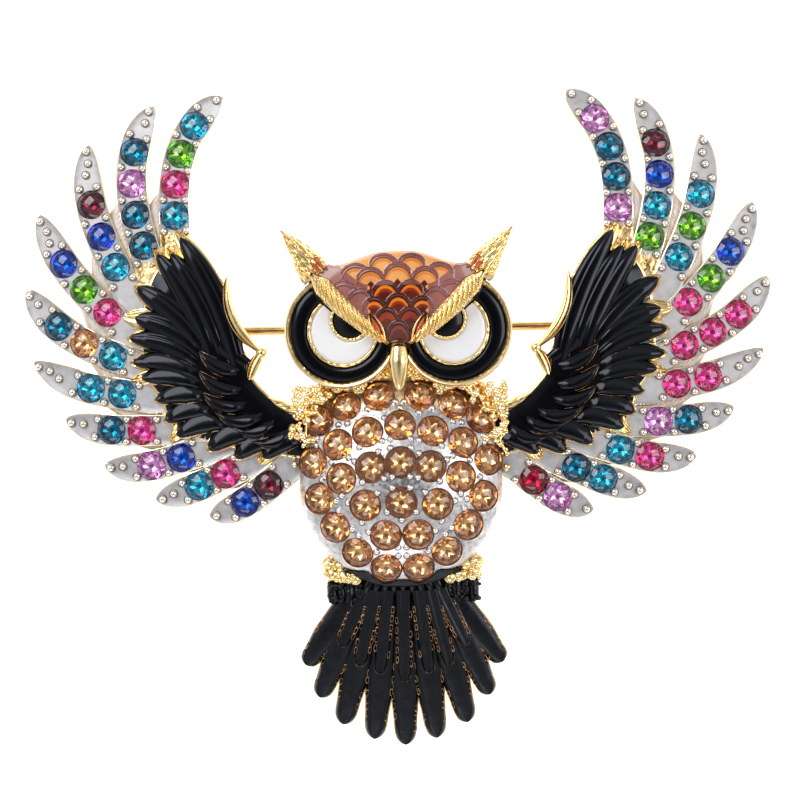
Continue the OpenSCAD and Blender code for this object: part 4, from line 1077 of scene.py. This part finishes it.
def head():
    gold = Shape("brows_and_ears", [GOLD, PALE_GOLD, BACK])
    inlay = Shape("brow_inlays", [AMBER_INLAY])
    for side in (-1, 1):
        brow(gold, inlay, side)
        ear(gold, inlay, side)
    # plate under the crown and bridge behind the beak
    half = 0.215 * HW
    across = [half * (2 * k / 24 - 1) for k in range(25)]
    plan = [(x, crown_top(x) - 0.10) for x in across]
    plan += [(-x, min(crown_low(x), crown_top(x)) - 0.3) for x in across]
    low = BASE_Z + 0.6
    gold.grid([[(x, y, z) for x, y in plan] for z in (low, CROWN_FLOOR + 0.15)], 1, loop=True)
    gold.sheet(plan, [], lambda x, y: low, 2)
    gold.sheet(plan, [], lambda x, y: CROWN_FLOOR + 0.12, 1)
    place = Matrix.Translation((0, BROW_IN[1] + 0.15, BROW_Z + 0.1)) @ rotation(90, "X")
    profile = [(0.01, -0.05), (0.40, 0.02)]
    for t in shares(24):
        profile.append((max(1.1 * bulge(t, 2.2, 0.6) * (0.66 + 0.34 * min(3 * t, 1)), 0.01), 0.25 + 4.5 * t))
    gold.lathe(place, profile, 0, 40)
    x0, y0 = 0.5, BROW_IN[1] - 3.4
    box = [(-x0, y0), (x0, y0), (x0, y0 + 3.6), (-x0, y0 + 3.6)]
    gold.grid([[(x, y, z) for x, y in box] for z in (BASE_Z + 0.8, BROW_Z - 0.2)], 0, loop=True)
    # nuggets and neck under the eyes
    grains = random.Random(21)
    stones = [(x * sign, y) for x, y in TORSO_PLAN for sign in (-1, 1)]
    for _ in range(NUGGETS):
        x, down, r = grains.uniform(-6.4, 6.4), grains.uniform(-0.3, 1.1), grains.uniform(0.24, 0.42)
        y = EYE_C[1] - sqrt(max(EYE_D ** 2 / 4 - (abs(x) - EYE_C[0]) ** 2, 0)) - down
        if abs(x) > 0.6 and min(dist((x, y), c) for c in stones) > 1.62 + 0.7 * r:
            gold.ball((x, y, max(BASE_Z + 2.1, torso_z(x, y, 0.1))), r, 0, 9, 6, 0.8)
    for _ in range(NECK_GRAINS):
        x, y = grains.uniform(-4.6, 4.6), grains.uniform(3.95, 7.2)
        if y > 4.6 + 0.55 * (4.6 - abs(x)) ** 0.8 and abs(x) > 0.9 or y < 4.3 and abs(abs(x) - 2.05) < 1.5:
            continue
        gold.ball((x, y, BASE_Z + 2.15 + 0.35 * grains.random()), grains.uniform(0.26, 0.52), 0, 9, 6, 0.8)
    neck_y = TORSO_Y + TORSO_D / 2 + 1.0
    neck = [(5.0 * cosine(a), max(neck_y + 5.0 * sine(a), 3.95)) for a in [7.5 * k for k in range(48)]
            if a < 200 or a > 340]
    gold.grid([[(x, y, z) for x, y in neck] for z in (BASE_Z, BASE_Z + 2.1)], 0, loop=True)
    gold.sheet(neck, [], lambda x, y: BASE_Z + 2.1, 0)
    gold.sheet(neck, [], lambda x, y: BASE_Z, 2)
    gold.build(["cast_body"], "plated_metal")
    inlay.build(["brow_inlay_enamel"], "amber_enamel")


# Granular gold fur beside the torso and the gold feet: how many grains are tried on each side
FUR_GRAINS, SHOULDER_GRAINS, TOE_GRAINS = 190, 230, 44
# two grains in three are of the yellow gold
GRAIN_SLOTS = (0, 0, 1)


def granules():
    shape = Shape("gold_fur_and_feet", [GOLD, PALE_GOLD])
    seed = random.Random(5)

    def grain(x, y, z, r, squash=0.9):
        shape.ball((x, y, z), r, seed.choice(GRAIN_SLOTS), 8, 5, squash)

    for side in (-1, 1):
        for _ in range(FUR_GRAINS):
            a = mix(15, 66, seed.random())
            grow = mix(-1.6, 1.25, seed.random())
            x, y = torso_edge(a, grow)
            if min(dist((x, y), p) for p in TORSO_PLAN) < 1.9:
                continue
            low = BASE_Z + mix(1.75, 0.5, smooth((a - 30) / 14))
            z = mix(torso_z(x, y), low, smooth((grow + 0.15) / 1.5)) + seed.uniform(-0.05, 0.3)
            grain(side * x, y, z, seed.uniform(0.28, 0.5))
        for _ in range(SHOULDER_GRAINS):
            x, y, r = seed.uniform(6.2, 10.7), seed.uniform(-5.4, 3.6), seed.uniform(0.24, 0.44)
            near = min(dist((x, y), p) for p in TORSO_PLAN)
            if near < 1.62 + 0.7 * r or x < 8.5 and y < 1.4 or y < -2.6 and x < 9.4:
                continue
            grain(side * x, y, max(torso_z(x, y), wing_z(x, y, 1.95)), r)
        for n, a, grow, drop, r in ((5, 62, 0.25, 0.3, 0.75), (4, 56.5, 0.9, 0.55, 0.85)):
            for k in range(n):
                x, y = torso_edge(a - 11 * k, grow)
                shape.ball((side * x, y, TORSO_FOOT - drop), r, 0, 12, 7)
        for k in range(3):
            for row in range(2):
                x = FOOT_X + 1.15 * k + 0.4 * row
                y = -0.482 * HH + row + 0.25 * k
                shape.ball((side * x, y, BASE_Z + 0.1), 0.78, 0, 12, 7)
        for _ in range(TOE_GRAINS):
            u, w = seed.random(), seed.random()
            x = 0.118 * HW + 3.5 * u
            y = FOOT_Y + 1.7 * w + 0.35 * u
            grain(side * x, y, BASE_Z + 0.45 + seed.uniform(-0.25, 0.3), seed.uniform(0.2, 0.36), 1.0)
    shape.build(["cast_body"], "plated_metal", sharp=180)


# Tail

def oval(shape, p, q, s, off, side, height):
    """Small oval ring of copper lying along a feather's edge."""
    d = Vector((q[0] - p[0], q[1] - p[1])).normalized()
    n = Vector((-d.y, d.x))
    centre = Vector(leaf_point(p, q, 0, s, off))
    turns = [angle(k, 12) for k in range(12)]
    ring = [centre + d * 0.34 * cos(a) + n * 0.13 * sin(a) for a in turns]
    radii = [0.036 + 0.012 * sin(a) for a in turns]
    shape.tube([on_wing(side * c.x, c.y, height) for c in ring], radii, 1, 5, closed=True)


def outer_feather(black, gold, side, k, p, q, w):
    def enamel(s, v):
        rise = (0.55 + 0.12 * (k % 2)) * bulge(v, 2.8, 0.6) * (1 - 0.12 * smooth((s - 0.85) / 0.15))
        return TAIL_OUTER_H + rise

    low = 0.02 + 0.006 * k
    leaf_loft(black, p, q, w * 0.97, 0, "long", enamel, 1.0, side, 0, 44, 16)
    leaf_loft(gold, p, q, w + 0.10, 0, "long", lambda s, v: 1.15 + 0.12 * bulge(v, 3, 0.5), low,
              side, 0, 40, 8)
    rows = []
    for s in shares(30):
        half = max(leaf_half(s, "long"), 0.02) * (w + 0.10) / 2
        plan = [leaf_point(p, q, 0, s, v * half) for v in (-1, 0, 1)]
        rows.append([on_wing(side * x, y, low) for x, y in plan])
    gold.grid(rows, 2)
    for edge in (-1, 1):
        for i in range(5):
            s = mix(0.50 if q[0] > 0 else 0.62, 0.94, (i + 0.25 * (edge > 0)) / 5)
            off = leaf_half(min(s, 0.98), "long") * w * 0.97 / 2 - 0.13
            if (i * 7 + k * 3 + (edge > 0)) % 5:
                oval(gold, p, q, s, edge * off, side, enamel(s, edge * 0.86) + 0.03)


def inner_feather(black, gold, side, k, p, q, w):
    def enamel(s, v):
        return TAIL_INNER_H + (0.75 - 0.25 * exp(-(v / 0.35) ** 2)) * bulge(v, 2.4, 0.5) + 0.08 * (k % 2)

    leaf_loft(black, p, q, w, 0, "long", enamel, 1.2, side, 0, 44, 16)
    path = []
    for a in [pi * i / 24 for i in range(25)]:
        s = 1 - (0.92 - 0.84 * sin(a)) * w / 2 / dist(p, q)
        x, y = leaf_point(p, q, 0, s, -cos(a) * w * 0.37)
        path.append(on_wing(side * x, y, LINE_H + 0.04 + 0.08 * (k % 2)))
    gold.tube(path, [0.060 * (0.3 + 0.7 * sin(pi * i / 24)) for i in range(25)], 1, 6)
    for edge in (-1, 1):
        for i in range(6):
            s = mix(0.22, 0.86, (i + 0.4 * (edge > 0)) / 6)
            if (i * 5 + k * 2 + (edge > 0)) % 6:
                oval(gold, p, q, s, edge * w * 0.40, side, LINE_H + 0.08 * (k % 2))


def skirt(black):
    """Enamel over the torso's lower rim, with the drapery under it."""
    rim = [torso_edge(a, 0.12) for a in range(234, 307, 4)]
    top = [(x, -15.05 - 0.95 * smooth((4.0 - abs(x)) / 2.6)) for x in [4.9 - 0.49 * k for k in range(21)]]
    spots = [(sx * 0.157 * TORSO_D / 2, TORSO_Y - 0.821 * TORSO_D / 2) for sx in (-1, 1)]
    top = [(x, min([y] + [sy - sqrt(max(1.66 ** 2 - (x - sx) ** 2, 0)) for sx, sy in spots
                          if abs(x - sx) < 1.66])) for x, y in top]
    rows = []
    for k in range(19):
        a, b = Vector(top[-1 - round(k * 20 / 18)]), Vector(rim[k])
        row = [(q.x, q.y, torso_z(q.x, q.y, 0.10) + 0.10 * sin(4.4 * q.x + 2) * j / 4)
               for j, q in enumerate([a.lerp(b, t) for t in shares(4)])]
        rows.append(row + [(*row[-1][:2], BASE_Z + 0.6)])
    black.grid(rows, 0)
    for k in range(-4, 5):
        x = 0.78 * k
        path = [(x * (1 + 0.05 * i), -0.478 * HH - 0.35 * i, wing_z(x, -16, 1.75) + 0.25 * sin(0.8 * i))
                for i in range(7)]
        black.tube(path, [0.50, 0.50, 0.46, 0.42, 0.36, 0.30, 0.2], 0, 12)


def tail():
    black = Shape("tail_feathers", [MATT, TEXTURED])
    gold = Shape("tail_gold", [GOLD, ROSE_GOLD, BACK])
    for side in (-1, 1):
        for table, make in ((TAIL_OUTER, outer_feather), (TAIL_INNER, inner_feather)):
            for k, (x, y, w) in enumerate(table):
                if x == 0 and side < 0:
                    continue
                p, q = (0.45 * x * HW, -0.52 * HH), (x * HW, y * HH)
                if make == inner_feather:
                    p = (p[0] * 1.25 + (0.0 if x == 0 else 0.15), p[1])
                make(black, gold, side, k, p, q, w * FEATHER_W)
    base = [share(*t) for t in TAIL_BASE]
    plan = base + [(-x, y) for x, y in base[::-1][1:]]
    inner = [(0.8 * i, 0.8 * j) for i in range(-10, 11) for j in range(-37, -18)]
    inner = [p for p in inner if within(p, plan, 0.25)]
    black.sheet(plan, [], lambda x, y: wing_z(x, y, TAIL_H), 0, inner)
    black.grid([[on_wing(x, y, h) for x, y in plan] for h in (TAIL_H, 1.1)], 0, loop=True)
    gold.grid([[on_wing(x, y, h) for x, y in plan] for h in (1.15, 0.0)], 0, loop=True)
    gold.sheet(plan, [], lambda x, y: wing_z(x, y, 0.0), 2, inner)
    skirt(black)
    # fluted bundles beside the feet
    seed = random.Random(9)
    left = 0.113 * HW
    for side in (-1, 1):
        for k in range(4):
            x, r = left + 0.3 + 0.85 * k, 0.52 + 0.05 * (k % 2)
            rows = []
            for i in range(13):
                y = FOOT_Y - (1.7 + 0.3 * (k % 2)) * i / 12
                rr = r * (1 - 0.25 * smooth((i - 8) / 4)) * (1 + 0.06 * seed.uniform(-1, 1))
                rows.append([(side * (x + rr * cos(a)), y, BASE_Z - 0.35 - 0.06 * k + rr * sin(a))
                             for a in [angle(j, 14) for j in range(14)]])
            black.grid(rows, 1, loop=True)
            black.ball((side * x, -0.497 * HH - 1.6, BASE_Z - 0.4 - 0.06 * k), r * 0.78, 1, 10, 6)
        for _ in range(26):
            x = left + 3.6 * seed.random()
            y = -0.50 * HH - 1.6 * seed.random()
            black.ball((side * x, y, BASE_Z + seed.uniform(-0.15, 0.12)), seed.uniform(0.16, 0.3), 1, 8, 5)
    black.build(["tail_enamel"], "black_enamel", sharp=60)
    gold.build(["cast_body"], "plated_metal")


# Pin and its fittings

PIN_Y, PIN_Z, HINGE_X = 0.281 * HH, 1.5, -0.497 * HW
RIVET_D, EYE_OUT, EYE_W, CHEEK_T, CHEEK_GAP = 0.8, 1.9, 1.0, 0.7, 0.12
BRACKET_HALF, RIVET_GAP = 1.1, 0.16
CATCH_X, CATCH_HALF, CATCH_WALL, CATCH_GAP = HINGE_X + PIN_REACH, 0.9, 0.75, 0.2
MOUNT_TOP = CENTRE_Z + sqrt(DOME_R ** 2 - (PIN_REACH / 2 + 1) ** 2) + 0.5


def solid_box(shape, low, high, bevel):
    """A box whose edges along Y are rounded."""
    (x0, y0, z0), (x1, y1, z1) = low, high
    corners = ((x1 - bevel, z1 - bevel, 0), (x0 + bevel, z1 - bevel, 90), (x0 + bevel, z0 + bevel, 180),
               (x1 - bevel, z0 + bevel, 270))
    outline = [(x + bevel * cosine(a + 22.5 * k), z + bevel * sine(a + 22.5 * k)) for x, z, a in corners
               for k in range(5)]
    n = len(outline)
    faces = [tuple(range(n)), tuple(range(2 * n - 1, n - 1, -1))]
    faces += [(i, (i + 1) % n, n + (i + 1) % n, n + i) for i in range(n)]
    shape.add([(x, y, z) for y in (y0, y1) for x, z in outline], faces)


def arc_rows(r, gap):
    """Both ends of a tube along X round the catch's middle, open at the bottom by gap degrees each way."""
    turns = [-90 + gap + (360 - 2 * gap) * k / 40 for k in range(41)]
    return [[(x, PIN_Y + r * cosine(a), PIN_Z + r * sine(a)) for a in turns]
            for x in (CATCH_X - CATCH_HALF, CATCH_X + CATCH_HALF)]


def pin():
    fittings = Shape("hinge_and_catch", [PALE_GOLD, GOLD])
    for sgn in (-1, 1):
        yc = PIN_Y + sgn * (EYE_W / 2 + CHEEK_GAP + CHEEK_T / 2)
        solid_box(fittings, (HINGE_X - BRACKET_HALF, yc - CHEEK_T / 2, PIN_Z - BRACKET_HALF),
                  (HINGE_X + BRACKET_HALF, yc + CHEEK_T / 2, MOUNT_TOP), 0.45)
    axis = Matrix.Translation((HINGE_X, PIN_Y, PIN_Z)) @ rotation(90, "X")
    half, r = EYE_W / 2 + CHEEK_GAP + CHEEK_T, RIVET_D / 2
    fittings.lathe(axis, [(0.01, -half), (r - 0.05, -half), (r, -half + 0.05), (r, half - 0.05),
                          (r - 0.05, half), (0.01, half)], 1, 24)
    hole = WIRE_D / 2 + CATCH_GAP
    out = hole + CATCH_WALL
    rows, inner = arc_rows(out, degrees(asin(hole / out))), arc_rows(hole, 89.0)
    for strip in (rows, inner, *zip(rows, inner)):
        fittings.grid(list(strip))
    for k in (0, -1):
        fittings.grid([[rows[0][k], rows[1][k]], [inner[0][k], inner[1][k]]])
    solid_box(fittings, (CATCH_X - CATCH_HALF, PIN_Y - 0.8, PIN_Z + WIRE_D / 2 + 0.5),
              (CATCH_X + CATCH_HALF, PIN_Y + 0.8, MOUNT_TOP), 0.1)
    fittings.build(["cast_body"], "plated_metal")

    wire = Shape("pin_wire_and_eye", [WIRE], "pin")
    half, bore, rim = EYE_W / 2, (RIVET_D + RIVET_GAP) / 2, EYE_OUT / 2
    wire.lathe(axis, [(bore, -half), (rim - 0.08, -half), (rim, -half + 0.1), (rim, half - 0.1),
                      (rim - 0.08, half), (bore, half), (bore, -half)], 0, 32)
    line = Matrix.Translation((HINGE_X, PIN_Y, PIN_Z)) @ rotation(90, "Y")
    w = WIRE_D / 2
    profile = [(w, at) for at in (0.75, 2, 10, 20, 30, PIN_REACH)]
    profile += [(w * 0.85, PIN_REACH + 0.5), (w * 0.6, PIN_REACH + 1.1), (w * 0.35, PIN_REACH + 1.7),
                (0.08, PIN_REACH + 2.15), (0.01, PIN_REACH + 2.2)]
    wire.lathe(line, profile, 0, 20)
    wire.build(["pin_stem"], "pin_wire")


# Put the pieces together

for sign, name in ((-1, "left"), (1, "right")):
    metal = Shape("wing_feathers_" + name, [SILVER, PALE_GOLD, ROOT, SEAT, BACK, WEB])
    beads = Shape("prong_beads_" + name, [BEAD])
    for index, row in enumerate(FEATHERS):
        feather(metal, beads, row, sign, index)
    for a, b in zip(FEATHERS, FEATHERS[1:]):
        web(metal, a, b, sign)
    metal.build(["cast_body"], "plated_metal")
    beads.build(["cast_body"], "plated_metal")
    black = Shape("wing_coverts_" + name, [BLACK])
    gold = Shape("covert_gold_" + name, [GOLD, PALE_GOLD, BACK, ROSE_GOLD])
    covers(black, gold, sign)
    black.build(["wing_enamel_" + name], "black_enamel", sharp=70)
    gold.build(["cast_body"], "plated_metal", sharp=60)
    eye(sign, name)
torso()
head()
crown()
granules()
tail()
pin()
for key, shape in STONES.items():
    shape.build(["stones_" + key], key + "_stone")

# Stage, light and camera

floor_mat = material("paper_floor", (0.62, 0.62, 0.63), (0.605, 0.605, 0.615), (0.7, 0.8), 0.0, 30)
floor_shader = floor_mat.node_tree.nodes["Principled BSDF"]
put(floor_shader, {"Emission Color": (1, 1, 1, 1), "Emission Strength": 0.95})
bpy.ops.mesh.primitive_plane_add(size=3.0, location=(0, 0, 0))
floor = bpy.context.object
floor.name = "floor"
floor.data.materials.append(floor_mat)

scene = bpy.context.scene
scene.view_settings.view_transform = "Standard"

world = bpy.data.worlds.new("studio")
scene.world = world
world.use_nodes = True
wn, wl = world.node_tree.nodes, world.node_tree.links
where = wn.new("ShaderNodeTexCoord")
split = wn.new("ShaderNodeSeparateXYZ")
ramp = wn.new("ShaderNodeValToRGB")
wl.new(where.outputs["Generated"], split.inputs["Vector"])
wl.new(split.outputs["Z"], ramp.inputs["Fac"])
stops = [(0.0, (0.60, 0.60, 0.61)), (0.20, (0.70, 0.71, 0.73)), (0.45, (0.42, 0.43, 0.45)),
         (0.70, (0.78, 0.79, 0.82)), (0.85, (0.72, 0.73, 0.76)), (0.95, (0.16, 0.16, 0.18)),
         (1.0, (0.08, 0.08, 0.10))]
elements = ramp.color_ramp.elements
elements[1].position = stops[-1][0]
for at, colour in stops[1:-1]:
    elements.new(at)
for element, (at, colour) in zip(elements, stops):
    element.color = (*colour, 1)
wl.new(ramp.outputs["Color"], wn["Background"].inputs["Color"])
wn["Background"].inputs["Strength"].default_value = 0.85


def softbox(name, at, size, power, colour=(1, 1, 1)):
    data = bpy.data.lights.new(name, "AREA")
    data.shape = "RECTANGLE"
    data.size, data.size_y = size
    data.energy = power
    data.color = colour
    obj = bpy.data.objects.new(name, data)
    scene.collection.objects.link(obj)
    obj.location = at
    obj.rotation_euler = (-Vector(at)).to_track_quat("-Z", "Y").to_euler()


softbox("key_left", (-0.45, 0.45, 0.62), (0.60, 0.50), 4.4)
softbox("fill_right", (0.62, 0.10, 0.50), (0.40, 0.55), 2.4, (1, 0.98, 0.96))
softbox("front_low", (-0.1, -0.70, 0.45), (0.6, 0.25), 1.2)

ROLL = radians(1.05)
SENSOR, CAMERA_RANGE, VIEW_WIDTH = 36, 0.60, 0.080
camera_data = bpy.data.cameras.new("camera")
camera_data.sensor_width = SENSOR
camera_data.lens = SENSOR * CAMERA_RANGE / VIEW_WIDTH
camera_data.clip_start = 0.01
camera = bpy.data.objects.new("camera", camera_data)
scene.collection.objects.link(camera)
camera.location = (0.00004, 0.0020, 0.606)
camera.rotation_euler = (0, 0, -ROLL)
scene.camera = camera
